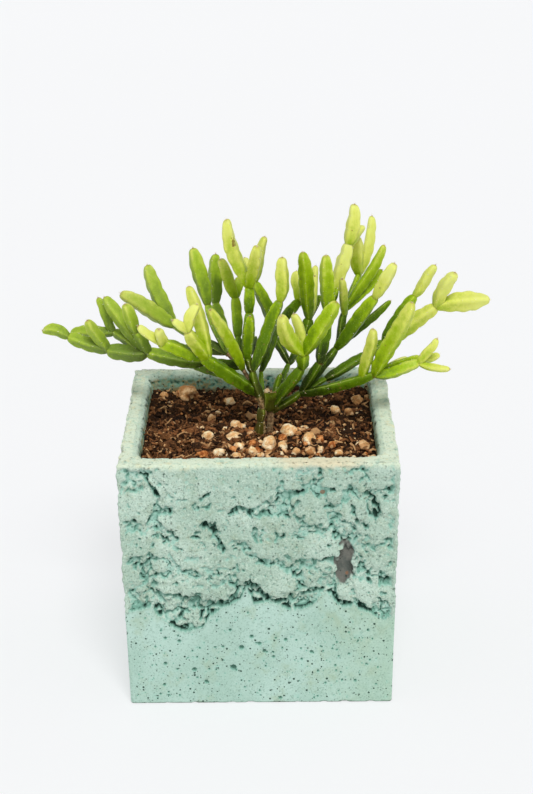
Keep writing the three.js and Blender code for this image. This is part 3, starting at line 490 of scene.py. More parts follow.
def skin_finish():
    finish = Finish(
        "waxy_stem", Subsurface_Weight=0.3, Subsurface_Radius=(0.9, 1.0, 0.2), Subsurface_Scale=0.0018,
        Specular_IOR_Level=0.14,
    )
    ridge = finish.attribute("ridge")
    across, depth, _ = finish.axes()
    mottle, broad, fine = finish.noise(2.6, 3, 0.6), finish.noise(9, 2), finish.noise(0.8, 2, 0.6)
    drawn_out = finish.node("Mapping", {}, {"Vector": finish.place, "Scale": (1, 1, 0.16)})
    fibre, streak = finish.noise(1.1, 2, 0.6, drawn_out), finish.noise(1.2, 3, 0.7)
    dots = finish.cells(0.85)
    shade = finish.attribute("paleness") + (mottle - 0.5) * 0.36 + (broad - 0.5) * 0.3
    # Painted light: rib crests a little paler, as light shines through their thin edges, and the grooves between ribs
    # a little darker as painted shade
    shade = shade + (fine - 0.5) * 0.14 + (fibre - 0.5) * 0.24 + ridge.ramp(0.0, 1.0, -0.04, 0.06)
    cork = finish.mix(streak.ramp(0.4, 0.62), tint(88, 68, 40), tint(166, 140, 100))
    scar_place = {0: finish.place, 1: (-0.0092, 0.0014, 0.1783)}
    scar = finish.node("VectorMath", {"operation": "DISTANCE"}, scar_place, "Value") * (1 / MM)
    colour = finish.coats(
        finish.mix(shade.ramp(0.0, 0.32), tint(43, 62, 2), tint(90, 122, 3)),
        (shade.ramp(0.3, 0.68), tint(152, 181, 12)),
        (shade.ramp(0.6, 1.0), tint(208, 213, 98)),
        (shade.ramp(0.88, 1.2), tint(215, 220, 120)),
        # A pale line along each rib crest: partly the stem's own pale margin, partly a painted highlight
        (ridge.ramp(0.92, 1.0) * (broad - 0.2) * 0.8, tint(212, 214, 120)),
        # The stems at the back and on the left are a little greyer
        ((depth - across).ramp(0, 75) * 0.22, tint(168, 178, 112)),
        (dots.ramp(0.24, 0.1) * 0.2, tint(228, 232, 150)),
        (finish.attribute("joint") * 0.85, tint(112, 78, 36)),
        ((finish.attribute("bark") + (streak - 0.5) * 0.7).ramp(0.3, 0.62), cork),
        # An old scar on the tallest stem of the centre, and brown flecks everywhere
        ((scar + (streak - 0.5) * 6).ramp(1.7, 1.1) * 0.8, tint(112, 84, 34)),
        (finish.cells(7.5).ramp(0.075, 0.045) * 0.7, tint(134, 100, 52)),
    )
    normal = finish.bump(mottle * 0.7 + dots * 0.25, 0.16, 0.5)
    return finish.wear(Base_Color=colour, Roughness=mottle.ramp(0.3, 0.7, 0.36, 0.5), Normal=normal)


def bark_finish():
    finish = Finish("old_bark", Specular_IOR_Level=0.2)
    streak = finish.noise(1.1, 4, 0.7)
    colour = finish.coats(
        finish.mix(streak.ramp(0.35, 0.65), tint(78, 58, 36), tint(164, 134, 96)),
        (finish.noise(4, 2).ramp(0.5, 0.7) * 0.5, tint(96, 92, 66)),
    )
    normal = finish.bump(streak, 0.35, 0.9)
    return finish.wear(Base_Color=colour, Roughness=streak.ramp(0, 1, 0.8, 0.95), Normal=normal)


def cork_finish():
    finish = Finish("areole_cork", Specular_IOR_Level=0.2)
    speck = finish.noise(0.5, 2)
    colour = finish.mix(speck.ramp(0.4, 0.6), tint(150, 112, 70), tint(212, 190, 146))
    return finish.wear(Base_Color=colour, Roughness=speck.ramp(0, 1, 0.85, 0.95))


def bristle_finish():
    finish = Finish("pale_bristle", Specular_IOR_Level=0.3)
    speck = finish.noise(1.5, 1)
    colour = finish.mix(speck, tint(226, 222, 186), tint(244, 240, 214))
    return finish.wear(Base_Color=colour, Roughness=speck.ramp(0, 1, 0.5, 0.6))


def earth_finish():
    finish = Finish("peat_soil", Specular_IOR_Level=0.18)
    kind, loose = finish.attribute("kind"), finish.attribute("loose")
    crumb = finish.noise(0.9, 3, 0.7)
    colour = finish.coats(
        finish.mix(finish.noise(5, 4, 0.6).ramp(0.35, 0.65), tint(54, 29, 13), tint(120, 78, 44)),
        (crumb.ramp(0.54, 0.68) * 0.75, tint(190, 136, 88)),
        (crumb.ramp(0.45, 0.33) * 0.9, tint(12, 5, 2)),
        # Painted shade: the soil's body under the crumbs is darkened nearly to black, as shadow in the gaps between
        # them
        (0.8 - loose * 0.8, tint(14, 7, 3)),
        (kind.ramp(0.0, -1.0) * 0.75, tint(22, 10, 4)),
        (kind.ramp(0.0, 0.5) * 0.6, tint(154, 100, 60)),
        (kind.ramp(0.5, 1.0) * 0.9, tint(226, 180, 126)),
    )
    normal = finish.bump(crumb, 0.5, 0.9)
    return finish.wear(Base_Color=colour, Roughness=crumb.ramp(0, 1, 0.88, 1.0), Normal=normal)


def grain_finish(name, dark, mid, light):
    finish = Finish(name, Specular_IOR_Level=0.25, Subsurface_Weight=0.05, Subsurface_Scale=0.001)
    patch, speck, pores = finish.noise(2.4, 3, 0.6), finish.noise(0.55, 2, 0.7), finish.cells(0.95)
    colour = finish.coats(
        finish.mix(patch.ramp(0.36, 0.62), dark, mid),
        (patch.ramp(0.48, 0.7), light),
        (speck.ramp(0.56, 0.7) * 0.5, dark),
        (pores.ramp(0.3, 0.12) * patch.ramp(0.35, 0.6) * 0.8, dark),
    )
    normal = finish.bump(pores.ramp(0.08, 0.38) * 0.7 + speck * 0.4, 0.35, 0.9)
    return finish.wear(Base_Color=colour, Roughness=speck.ramp(0, 1, 0.85, 0.95), Normal=normal)


def floor_finish():
    finish = Finish("pale_floor", Roughness=0.9, Specular_IOR_Level=0.1, Emission_Strength=0.5)
    finish.shader.inputs["Emission Color"].default_value = (0.98, 0.99, 1.0, 1)
    colour = finish.mix(finish.noise(400, 1), (0.40, 0.40, 0.405, 1), (0.41, 0.41, 0.415, 1))
    return finish.wear(Base_Color=colour)


# Helpers for shapes
def as_mesh(shape, name, materials=()):
    mesh = bpy.data.meshes.new(name)
    shape.to_mesh(mesh)
    shape.free()
    for material in materials:
        mesh.materials.append(material)
    return mesh


def finish_piece(shape, name, materials, slot, *nodes, soft=True):
    """Turns a shape in millimetres into a piece of the root body."""
    bmesh.ops.recalc_face_normals(shape, faces=shape.faces)
    bmesh.ops.scale(shape, vec=(MM, MM, MM), verts=shape.verts)
    for face in shape.faces:
        face.smooth = soft
    piece = add_object(name, as_mesh(shape, name, materials))
    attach(piece, "root")
    if nodes:
        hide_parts(*nodes)
    return piece


def linked(vertices, kind):
    """The edges or faces that meet some vertices, each once and in a steady order."""
    return list(dict.fromkeys(item for vertex in vertices for item in getattr(vertex, kind)))


def paint(vertices, index):
    """Gives the faces at some vertices a material."""
    for face in linked(vertices, "link_faces"):
        face.material_index = index


def in_batches(whole, items, number, marks=()):
    """Gives items in batches, each with a small shape to make them in, its marks and the batch.

    The small shape is then added to the whole, which is quicker than making all in place.
    """
    for first in range(0, len(items), number):
        part = bmesh.new()
        yield part, [part.verts.layers.float.new(name) for name in marks], items[first:first + number]
        mesh = as_mesh(part, "part")
        whole.from_mesh(mesh)
        bpy.data.meshes.remove(mesh)


def smooth(value, low, high):
    share = np.clip((value - low) / (high - low), 0, 1)
    return share * share * (3 - 2 * share)


def scatter(column, row, seed):
    """A seeded number from 0 to 1 for each whole-numbered cell of a plane."""
    mixed = column.astype(np.uint32) * np.uint32(374761393) + row.astype(np.uint32) * np.uint32(668265263)
    mixed = mixed + np.uint32(seed * 974634777 & 0xFFFFFFFF)
    mixed = (mixed ^ (mixed >> 13)) * np.uint32(1274126177)
    mixed = (mixed ^ (mixed >> 15)) * np.uint32(2246822519)
    return ((mixed ^ (mixed >> 16)) & np.uint32(0xFFFFFF)) / np.float32(16777216)


def field(x, y, size, seed, octaves=1):
    """Smooth noise, about -1 to 1, over a plane in millimetres."""
    total = 0
    for octave in range(octaves):
        u, v = x * (2 ** octave / size) + seed * 3.7, y * (2 ** octave / size) + seed * 1.9
        column, row = np.floor(u).astype(np.int32), np.floor(v).astype(np.int32)
        u, v = u - column, v - row
        fade_u, fade_v = (t ** 3 * (t * (t * 6 - 15) + 10) for t in (u, v))
        value = 0
        for i, j in np.ndindex(2, 2):
            lean = scatter(column + i, row + j, seed + octave) * (2 * math.pi)
            slope = (u - i) * np.cos(lean) + (v - j) * np.sin(lean)
            value = value + slope * (fade_u if i else 1 - fade_u) * (fade_v if j else 1 - fade_v)
        total = total + 1.6 * value / 2 ** octave
    return total


def clumps(x, y, size, seed):
    """Scattered lumps: distance to the nearest and next lump's middle in lump sizes, and a number of the lump."""
    u, v = x / size + seed * 5.3, y / size + seed * 2.9
    column, row = np.floor(u).astype(np.int32), np.floor(v).astype(np.int32)
    near, beyond, number = np.full(u.shape, 9.0), np.full(u.shape, 9.0), np.zeros(u.shape)
    for i, j in np.ndindex(3, 3):
        i, j = column + i - 1, row + j - 1
        away = np.hypot(i + scatter(i, j, seed + 11) - u, j + scatter(i, j, seed + 12) - v)
        closer = away < near
        beyond = np.where(closer, near, np.minimum(beyond, away))
        number = np.where(closer, scatter(i, j, seed + 14), number)
        near = np.where(closer, away, near)
    return near, beyond, number


def from_line(across, height, points):
    """Distance to a broken line, and the side of it: 1 on the right hand of its way, -1 on the left."""
    nearest = np.full(across.shape, 1e9)
    side = np.zeros(across.shape)
    for (x0, z0), (x1, z1) in zip(points, points[1:]):
        dx, dz = x1 - x0, z1 - z0
        share = np.clip(((across - x0) * dx + (height - z0) * dz) / (dx * dx + dz * dz), 0, 1)
        ox, oz = across - x0 - share * dx, height - z0 - share * dz
        away = np.hypot(ox, oz)
        closer = away < nearest
        nearest = np.where(closer, away, nearest)
        side = np.where(closer, np.sign(ox * dz - oz * dx), side)
    return nearest, side


# Pot
FRONT_COLUMNS, SIDE_COLUMNS = 300, 170
FACES = (  # outward normal, way from its left end to its right end, columns
    ((0, -1), (1, 0), FRONT_COLUMNS), ((1, 0), (0, 1), SIDE_COLUMNS),
    ((0, 1), (-1, 0), SIDE_COLUMNS), ((-1, 0), (0, -1), SIDE_COLUMNS),
)
CORNER, CAVITY_CORNER = 1.3, 6  # radius of the upright corners, outside and in the cavity
FOOT_EDGE, EDGE, LIP = 0.8, 0.9, 2.0  # radius of the edges of the foot, of the rim outside and of the rim inside
SMOOTH_TOP = 31  # up to this height the foot is smooth and needs few rings
KEPT_FACES = 0.38  # share of the faces that stays when flat parts are thinned
HOLE_SIZES = (0.2, 0.2, 0.25, 0.3, 0.4), (0.2, 0.25, 0.3, 0.45, 0.7)  # pinholes of the front and of the other faces


def seen_features():
    """Features of the front face, with the pinholes of its foot."""
    draw = random.Random(4)
    holes = list(BUG_HOLES)
    for _ in range(190):
        x, z = draw.uniform(-51, 51), min(draw.uniform(2, 42), draw.uniform(14, 60))
        holes.append((x, z, draw.choice(HOLE_SIZES[0])))
    return FRONT_CRACKS, FRONT_LEDGES, FRONT_HOLLOWS, FRONT_SLABS, ROUGH_EDGE, holes


def guessed_features(face):
    """Features of a face that the photograph doesn't show, of the same kinds as the front's."""
    draw = random.Random(60 + face)

    def walk(steps, length, level):
        x, z = draw.uniform(-50, 50), draw.uniform(44, 100)
        heading = draw.gauss(0, 0.5) if level else draw.uniform(0, 2 * math.pi)
        points = [(x, z)]
        for _ in range(steps):
            heading += draw.gauss(0, 0.5)
            x += length * math.cos(heading)
            z += length * math.sin(heading)
            points.append((x, z))
        return points

    cracks = [
        (draw.uniform(0.5, 1.1), draw.uniform(1.4, 3.6), walk(draw.randint(1, 4), 3.4, False)) for _ in range(26)
    ]
    ledges = [(draw.uniform(2, 3.4), draw.uniform(1, 2.6), walk(draw.randint(2, 5), 4.4, True)) for _ in range(10)]
    hollows = [
        (draw.uniform(-46, 46), draw.uniform(48, 98), draw.uniform(1.4, 3.2), draw.uniform(1.4, 4.5), 3.4)
        for _ in range(5)
    ]
    slabs = []
    for _ in range(38):
        x, z, wide = draw.uniform(-51, 51), draw.uniform(46, 103), draw.uniform(4, 16)
        slabs.append((x, z, wide, draw.uniform(4, 0.5 * wide + 5), draw.uniform(0, 0.7)))
    edge = [(-54 + 6 * i, 42 + 7 * noise.noise(Vector((i * 0.55, face * 9.1, 2.2)))) for i in range(19)]
    holes = [(draw.uniform(-50, 50), draw.uniform(3, 38), draw.choice(HOLE_SIZES[1])) for _ in range(90)]
    return cracks, ledges, hollows, slabs, edge, holes


def face_relief(face, across, height):
    """Depth of a face's relief in millimetres, how far each place is rough, and how much painted shade the air hole
    it lies in gets.
    """
    cracks, ledges, hollows, slabs, edge, holes = guessed_features(face) if face else seen_features()
    apart = across + 500 * face  # gives each face its own part of the noise

    def cloud(size, seed, octaves=1):
        return field(apart, height, size, seed, octaves)

    fray, fray_up = 0.8 * cloud(3.0, 1, 3), 0.8 * cloud(3.0, 3, 3)
    wx, wz = across + fray, height + fray_up  # places pushed about, so that no line runs straight
    above = height + 0.35 * fray_up - np.interp(across + 0.35 * fray, *zip(*edge))
    rough = smooth(above, -0.05, 0.35)
    # Flat slabs, each at its own depth, with worn edges
    off, level = np.full(across.shape, 99.0), np.zeros(across.shape)
    for x, z, wide, tall, deep in slabs:
        oval = (np.abs((wx - x) / wide) ** 2.6 + np.abs((wz - z) / tall) ** 2.6) ** (1 / 2.6)
        away = (oval - 1) * min(wide, tall)
        level = np.where(away < off, deep, level)
        off = np.minimum(off, away)
    off = off + 2.3 * cloud(6.5, 6, 3) + 0.3
    by_the_foot = 0.9 * np.exp(-np.maximum(above, 0) / 2.5) * smooth(cloud(9, 7), -0.5, 0.3)
    loose = np.maximum(smooth(off, -0.3, 0.6), by_the_foot)
    depth = 0.04 + level * (1 - loose) + (0.3 + 0.9 * smooth(cloud(8, 40), -0.4, 0.5)) * loose
    depth += 0.45 * smooth(off, -2.2, 0.3)
    depth += 0.3 * cloud(9, 8) + 0.24 * cloud(4.4, 18) + 0.15 * cloud(2.2, 9, 2)
    # Voids of three sizes, more of them in loose places
    bottom = 1 + 0.5 * cloud(1.6, 31, 2)
    depth += 1.6 * bottom * smooth(cloud(5.5, 23, 3) + 0.25 * loose, 0.72, 0.98)
    depth += 0.8 * smooth(cloud(2.4, 25, 2) + 0.25 * loose, 0.68, 0.95)
    depth += 0.3 * smooth(cloud(1.2, 27) + 0.14 * loose, 0.56, 0.8)
    # Loose lumps, and fine beads everywhere
    lump, lump_next, lump_number = clumps(apart + 0.9 * fray, height + 0.9 * fray_up, 4.6, 2)
    bead, _, bead_number = clumps(apart + 0.5 * fray_up, height + 0.5 * fray, 2.2, 3)
    crease = 1 - smooth(lump_next - lump + 0.14 * cloud(2.2, 37, 2), -0.02, 0.3)
    beady = 0.7 * bead_number ** 2 + 0.9 * np.minimum(bead, 0.8) ** 2
    depth += loose * (1.5 * lump_number ** 2 + (0.4 + 1.3 * smooth(cloud(5, 38), -0.4, 0.6)) * crease)
    depth += (0.3 + 0.2 * loose) * beady + 0.14 * cloud(1.1, 19, 2)
    # The rough part starts with a recess above the smooth foot
    depth += 1.0 * np.exp(-np.maximum(above, 0) / 1.4) * (0.7 + 0.9 * cloud(5, 11))
    for fade, deep, points in ledges:
        away, side = from_line(wx, wz, points)
        depth += deep * smooth(side * away, -0.2, 0.6) * np.exp(-away / fade) * smooth(cloud(4, 39, 2), -0.5, 0.3)
    for half, deep, points in cracks:
        away, _ = from_line(wx, wz, points)
        wide = half * (0.85 + 0.8 * cloud(3.2, 33, 2))
        depth = np.maximum(depth, 1.15 * deep * bottom * (1 - smooth(away / (wide + 0.25), 0.5, 1.3)))
    for x, z, wide, tall, deep in hollows:
        share = np.hypot((wx - x) / wide, (wz - z) / tall) + 0.3 * cloud(3.6, 35, 2)
        depth = np.maximum(depth, (deep + 0.3 * cloud(2, 36)) * (1 - smooth(share, 0.85, 1.1)))
    # The smooth foot, with its worn lower edge and its air holes
    foot = 0.1 + 0.05 * cloud(18, 12) + 0.02 * cloud(1.4, 13)
    foot += 0.9 * smooth(cloud(5, 47, 2), 0.15, 0.8) * np.exp(-height / 0.9)
    # Painted shade in the air holes: how dark the material paints each hole, folded into the recess marks
    dark = np.zeros(across.shape)
    for x, z, radius in holes:
        away = np.hypot(across - x, height - z) / (1.2 * radius + 0.12)
        foot = np.maximum(foot, 1.5 * radius * (1 - smooth(away, 0.55, 1.0)))
        strength = max(0.72, 0.92 - 0.25 * radius)
        dark = np.maximum(dark, (1 - smooth(away, 0.5, 1.1)) * strength * (1 - rough))
    near_rim = 1 - 0.7 * smooth(height, HEIGHT - 5, HEIGHT - 0.5)
    return rough * np.clip(depth, 0.02, 5.4) * near_rim + (1 - rough) * foot, rough, dark


def spread(grid, reach):
    """Mean of a grid of numbers over a window that runs round the pot in the second direction."""
    tall = np.pad(grid, ((reach, reach), (0, 0)), "edge").cumsum(0)
    tall = (tall[2 * reach:] - np.vstack((np.zeros(tall.shape[1]), tall[:-2 * reach - 1]))) / (2 * reach + 1)
    wide = np.pad(tall, ((0, 0), (reach, reach)), "wrap").cumsum(1)
    return (wide[:, 2 * reach:] - np.hstack((np.zeros((len(wide), 1)), wide[:, :-2 * reach - 1]))) / (2 * reach + 1)


def pot_outline(column_face, share, half, radius):
    """A square outline with round corners: places and outward normals in plan."""
    normal = np.array([FACES[f][0] for f in column_face], float)
    way = np.array([FACES[f][1] for f in column_face], float)
    straight = half - radius
    along = share * half
    turn = np.clip((np.abs(along) - straight) / radius, 0, 1) * math.pi / 4
    bent = np.abs(along) > straight
    along = np.where(bent, np.sign(along) * (straight + radius * np.sin(turn)), along)
    out = np.where(bent, straight + radius * np.cos(turn), half)
    turned = normal * np.cos(turn)[:, None] + way * (np.sign(share) * np.sin(turn))[:, None]
    return normal * out[:, None] + way * along[:, None], turned


def pot_rings():
    """Rings of the pot's skin: up the outside, over the rim and down the cavity. Kind, height, inset or growth."""
    quarter = math.pi / 2
    rings = []
    for turn in np.linspace(0, quarter, 4):
        rings.append(("out", FOOT_EDGE * (1 - math.cos(turn)), FOOT_EDGE * (1 - math.sin(turn))))
    rings += [("out", z, 0.0) for z in np.linspace(FOOT_EDGE, SMOOTH_TOP, 84)[1:]]
    rings += [("out", z, 0.0) for z in np.linspace(SMOOTH_TOP, HEIGHT - EDGE, 182)[1:]]
    for turn in np.linspace(0, quarter, 6)[1:]:
        rings.append(("out", HEIGHT - EDGE + EDGE * math.sin(turn), EDGE * (1 - math.cos(turn))))
    rings += [("rim", HEIGHT, k) for k in np.linspace(0, 1, 13)[1:-1]]
    for turn in np.linspace(0, quarter, 6):
        rings.append(("in", HEIGHT - LIP + LIP * math.cos(turn), LIP * (1 - math.sin(turn))))
    rings += [("in", z, 0.0) for z in np.linspace(HEIGHT - LIP, 94, 20)[1:]]
    return rings + [("in", z, 0.0) for z in (60.0, 20.0, float(FLOOR))]


def cavity_half(height):
    return (CAVITY_FOOT + (CAVITY_TOP - CAVITY_FOOT) * (height - FLOOR) / (HEIGHT - FLOOR)) / 2


def plain_skin(rings, column_face, column_share):
    """Places and outward normals of the pot's skin before its relief."""

    def outer_ring(height, inset, radius):
        half = (FOOT + (RIM - FOOT) * height / HEIGHT) / 2
        return pot_outline(column_face, column_share, half - inset, radius)

    def cavity_ring(height, growth):
        half = cavity_half(height) + growth
        plan, normal = pot_outline(column_face, column_share, half, CAVITY_CORNER + growth)
        return plan + np.array((0, CAVITY_SHIFT)), -normal

    places, normals = np.zeros((2, len(rings), len(column_face), 3))
    for row, (kind, height, value) in enumerate(rings):
        if kind == "out":
            plan, normal = outer_ring(height, value, max(CORNER - value, 0.2))
        elif kind == "in":
            plan, normal = cavity_ring(height, value)
        else:
            outer, normal = outer_ring(height, EDGE, CORNER)
            plan = outer * (1 - value) + cavity_ring(height, LIP)[0] * value
        places[row, :, :2] = plan
        places[row, :, 2] = height
        normals[row, :, :2] = normal
    return places, normals


def add_drains(shape):
    """Closes the underside and the cavity's floor around the drain holes, and gives the holes their walls."""
    drains = {}
    for height, way in ((0.0, -1), (float(FLOOR), 1)):
        loop = [e for e in shape.edges if e.is_boundary and abs(e.verts[0].co.z - height) < 0.01]
        for x, y in itertools.product((-DRAIN_OFFSET, DRAIN_OFFSET), repeat=2):
            place = Matrix.Translation((x, y, height))
            made = bmesh.ops.create_circle(shape, segments=24, radius=DRAIN_RADIUS, matrix=place)["verts"]
            circle = linked(made, "link_edges")
            drains.setdefault((x, y), []).extend(circle)
            loop += circle
        bmesh.ops.triangle_fill(shape, edges=loop, use_beauty=True, normal=(0, 0, way))
    for rims in drains.values():
        bmesh.ops.bridge_loops(shape, edges=rims)


def make_pot(material):
    """One closed skin with its relief, and with the drain holes through its floor."""
    columns = [(f, -1 + 2 * i / FACES[f][2]) for f in range(4) for i in range(FACES[f][2])]
    column_face, column_share = (np.array(values) for values in zip(*columns))
    rings = pot_rings()
    kinds = np.array([kind for kind, _, _ in rings])
    places, normals = plain_skin(rings, column_face, column_share)
    depths, rough, dark = np.zeros((3, *places.shape[:2]))
    outside = kinds == "out"
    for face in range(4):
        chosen = np.ix_(outside, column_face == face)
        spot = places[chosen]
        along = spot @ np.array((*FACES[face][1], 0.0))
        depths[chosen], rough[chosen], dark[chosen] = face_relief(face, along, spot[..., 2])
    # Near an upright corner both faces settle on the corner's own broken edge
    for corner in range(4):
        at = int(np.flatnonzero(column_face == corner)[0])
        height = places[outside, at, 2]
        own = 0.5 * field(height, height * 0, 9, 20 + corner) + 0.5 * field(height, height * 0, 3, 30 + corner, 2)
        own = 0.1 + np.clip(own - 0.1, -0.55, 2) * (0.1 + 0.9 * smooth(height, 34, 46))
        away = np.abs(places[outside, :, :2] - places[outside, at, None, :2]).sum(-1)
        share = 1 - smooth(away, 0.4, 3.8)
        depths[outside] = depths[outside] * (1 - share) + own[:, None] * share
    # Chipped edges and sandy skin of the rim and the cavity's wall
    x, y = places[..., 0], places[..., 1]
    within = (kinds == "in")[:, None]
    x, y = np.where(within, x * 1.3, x), np.where(within, y * 1.3 + places[..., 2] * 1.4, y)
    skin = -0.12 + 0.2 * field(x, y, 6, 41) + 0.15 * field(x, y, 1.9, 42, 2)
    skin += 0.4 * smooth(field(x, y, 2.8, 43, 2), 0.5, 0.8) + 0.24 * smooth(field(x, y, 1.2, 44), 0.6, 0.75)
    skin = np.clip(skin, -0.4, 1.4)
    wear = 0.75 * smooth(field(x, y, 5, 45, 3), 0.08, 0.75)
    for row, (kind, height, value) in enumerate(rings):
        if kind == "out":
            places[row] -= normals[row] * depths[row][:, None]
            over = max(0.0, (height - (HEIGHT - EDGE)) / EDGE)
            places[row, :, 2] -= (skin[row] + wear[row]) * over
        elif kind == "rim":
            edge = max(1 - value * 6, 0) + max(1 - (1 - value) * 5, 0)
            places[row, :, 2] -= skin[row] + wear[row] * edge
            depths[row] = skin[row] * 0.7
        else:
            wall = float(smooth(np.array(HEIGHT - height), 0, LIP))
            places[row, :, 2] -= (skin[row] + wear[row]) * (1 - wall)
            pits = skin[row] + 0.9 * smooth(field(x[row], y[row], 3, 46, 2), 0.25, 0.6)
            places[row] -= normals[row] * ((pits * 1.3) * wall * (height > 70))[:, None]
            depths[row] = skin[row] * 1.4 * (1 - wall) + pits * 1.6 * wall
    # Places deeper than those around them, and the air holes of the foot, are marked for the material, which paints
    # shade into them
    hidden = (spread(depths, 2) + spread(depths, 4) + spread(depths, 12)) / 3
    recess = np.clip((depths - hidden + 0.1 * depths) * (0.6 - 0.18 * rough), 0, 1)
    marks = np.stack((np.maximum(recess, dark), rough, np.broadcast_to(within, rough.shape)), -1)

    shape = bmesh.new()
    layers = [shape.verts.layers.float.new(name) for name in ("recess", "rough", "inner")]
    grid = bmesh.ops.create_grid(shape, x_segments=len(columns), y_segments=len(rings) - 1, size=1)["verts"]
    for vertex in grid:
        column = round((vertex.co.x + 1) / 2 * len(columns)) % len(columns)
        row = round((vertex.co.y + 1) / 2 * (len(rings) - 1))
        vertex.co = places[row, column]
        for layer, mark in zip(layers, marks[row, column]):
            vertex[layer] = mark
    bmesh.ops.remove_doubles(shape, verts=shape.verts, dist=0.0001)
    add_drains(shape)
    pot = finish_piece(shape, "cast_pot", [material], "concrete", "pot")
    pot.modifiers.new("thin_flat_parts", "DECIMATE").ratio = KEPT_FACES


# Soil
SOIL_CELLS = 170  # across the soil's top
LUMPS = (2700, 0.5, 1.25, 1), (330, 1.2, 2.1, 1), (60, 1.6, 2.8, 2)  # number, smallest and largest radius, detail
SHREDS, GRANULES, FRONT_GRANULES = 1300, 560, 34


def earth_level(places):
    """Height of the soil at places in plan."""
    x, y = places.T
    level = SOIL_TOP - 0.7 + field(x, y, 9, 51) + 1.5 * field(x, y, 3.8, 52) + 0.9 * field(x, y, 1.8, 53)
    return level + 0.9 * np.exp(-((x - 2) ** 2 + (y + 8) ** 2) / 500)


def settled_level(places, seats):
    """The soil's height with a seat under each grain."""
    level = earth_level(places)
    for centre, reach, height in seats:
        share = np.exp(-(((places[:, 0] - centre[0]) ** 2 + (places[:, 1] - centre[1]) ** 2) / (reach * reach)))
        level = level * (1 - share) + height * share
    return level


def make_soil(material, seats):
    """The body of the soil: its lumpy top, its sides down the cavity's walls and its underside."""
    shape = bmesh.new()
    half = cavity_half(SOIL_TOP) + 0.15
    grid = bmesh.ops.create_grid(shape, x_segments=SOIL_CELLS, y_segments=SOIL_CELLS, size=half)["verts"]
    straight = half - CAVITY_CORNER
    for vertex in grid:
        x, y = vertex.co.xy
        rest = Vector((x, y)) - Vector((max(-straight, min(straight, x)), max(-straight, min(straight, y))))
        if rest.x and rest.y:
            vertex.co.xy = Vector((x, y)) - rest + rest.normalized() * max(abs(rest.x), abs(rest.y))
        vertex.co.y += CAVITY_SHIFT
    plan = np.array([v.co.xy for v in grid])
    for vertex, level in zip(grid, settled_level(plan, seats)):
        vertex.co.z = level
    wall = bmesh.ops.extrude_edge_only(shape, edges=[e for e in shape.edges if e.is_boundary])["geom"]
    for vertex in wall:
        if isinstance(vertex, bmesh.types.BMVert):
            vertex.co = vertex.co.x * 0.955, vertex.co.y * 0.955, SOIL_FOOT
    bmesh.ops.contextual_create(shape, geom=[e for e in wall if isinstance(e, bmesh.types.BMEdge)])
    finish_piece(shape, "peat", [material], "soil", "soil")


def with_level(spots, seats):
    """Adds the soil's height to places in plan."""
    return [(x, y, level) for (x, y), level in zip(spots, settled_level(np.array(spots), seats))]


def spin(draw, axis):
    return Matrix.Rotation(draw.uniform(0, 6.3), 4, axis)


def make_crumbs(material, seats):
    """Clods, crumbs and shreds of peat on the soil."""
    draw = random.Random(5)
    marks = ("kind", "loose")
    shape = bmesh.new()
    for name in marks:
        shape.verts.layers.float.new(name)

    def spots(number):
        """Places on the soil, about a third of them in the shredded front left part."""
        found = []
        for _ in range(number):
            found.append((draw.uniform(-46.6, 46.6), draw.uniform(-45.6, 47.6)))
            if draw.random() < 0.35:
                found[-1] = draw.uniform(-45, 0), draw.uniform(-44, 10)
        return with_level(found, seats)

    lumps = []
    for number, small, large, detail in LUMPS:
        lumps += [(*spot, draw.uniform(small, large), detail) for spot in spots(number)]
    for part, (kind, loose), batch in in_batches(shape, lumps, 60, marks):
        for x, y, level, size, detail in batch:
            turn = spin(draw, "Z") @ spin(draw, "X")
            scale = Matrix.Diagonal((size, size * draw.uniform(0.6, 1.0), size * draw.uniform(0.45, 0.8), 1))
            place = Matrix.Translation((x, y, level + 0.15 * size)) @ turn @ scale
            made = bmesh.ops.create_icosphere(part, subdivisions=detail, radius=1, matrix=place)["verts"]
            tone = draw.random() ** 2.2 if draw.random() < 0.6 else -draw.random()
            for vertex in made:
                vertex[kind], vertex[loose] = tone, 1
                vertex.co += 0.5 * size * noise.noise_vector(vertex.co / (0.9 * size))
    for part, (kind, loose), batch in in_batches(shape, spots(SHREDS), 60, marks):
        for x, y, level in batch:
            length, width = draw.uniform(1.6, 4.6), draw.uniform(0.28, 0.8)
            place = Matrix.Translation((x, y, level + draw.uniform(0.2, 1.3))) @ spin(draw, "Z")
            place = place @ Matrix.Rotation(draw.gauss(1.4, 0.35), 4, "Y")
            tone = draw.choice((-1.0, -0.7, -0.3, 0.1, 0.3, 0.5, 0.8))
            bend = draw.uniform(-0.8, 0.8)
            rod = bmesh.ops.create_cone(
                part, cap_ends=True, segments=4, radius1=width, radius2=width * 0.7, depth=length, matrix=place
            )["verts"]
            side, _, way = place.to_3x3().col
            cut = bmesh.ops.bisect_plane(
                part, geom=rod + linked(rod, "link_faces") + linked(rod, "link_edges"),
                plane_co=place.translation, plane_no=way,
            )["geom_cut"]
            middle = [v for v in cut if isinstance(v, bmesh.types.BMVert)]
            for vertex in middle:
                vertex.co += side * bend * length * 0.5
            for vertex in rod + middle:
                vertex[kind], vertex[loose] = tone, 1
                vertex.co += 0.45 * noise.noise_vector(vertex.co / 2.0)
    finish_piece(shape, "peat_crumbs", [material], "soil", soft=False)


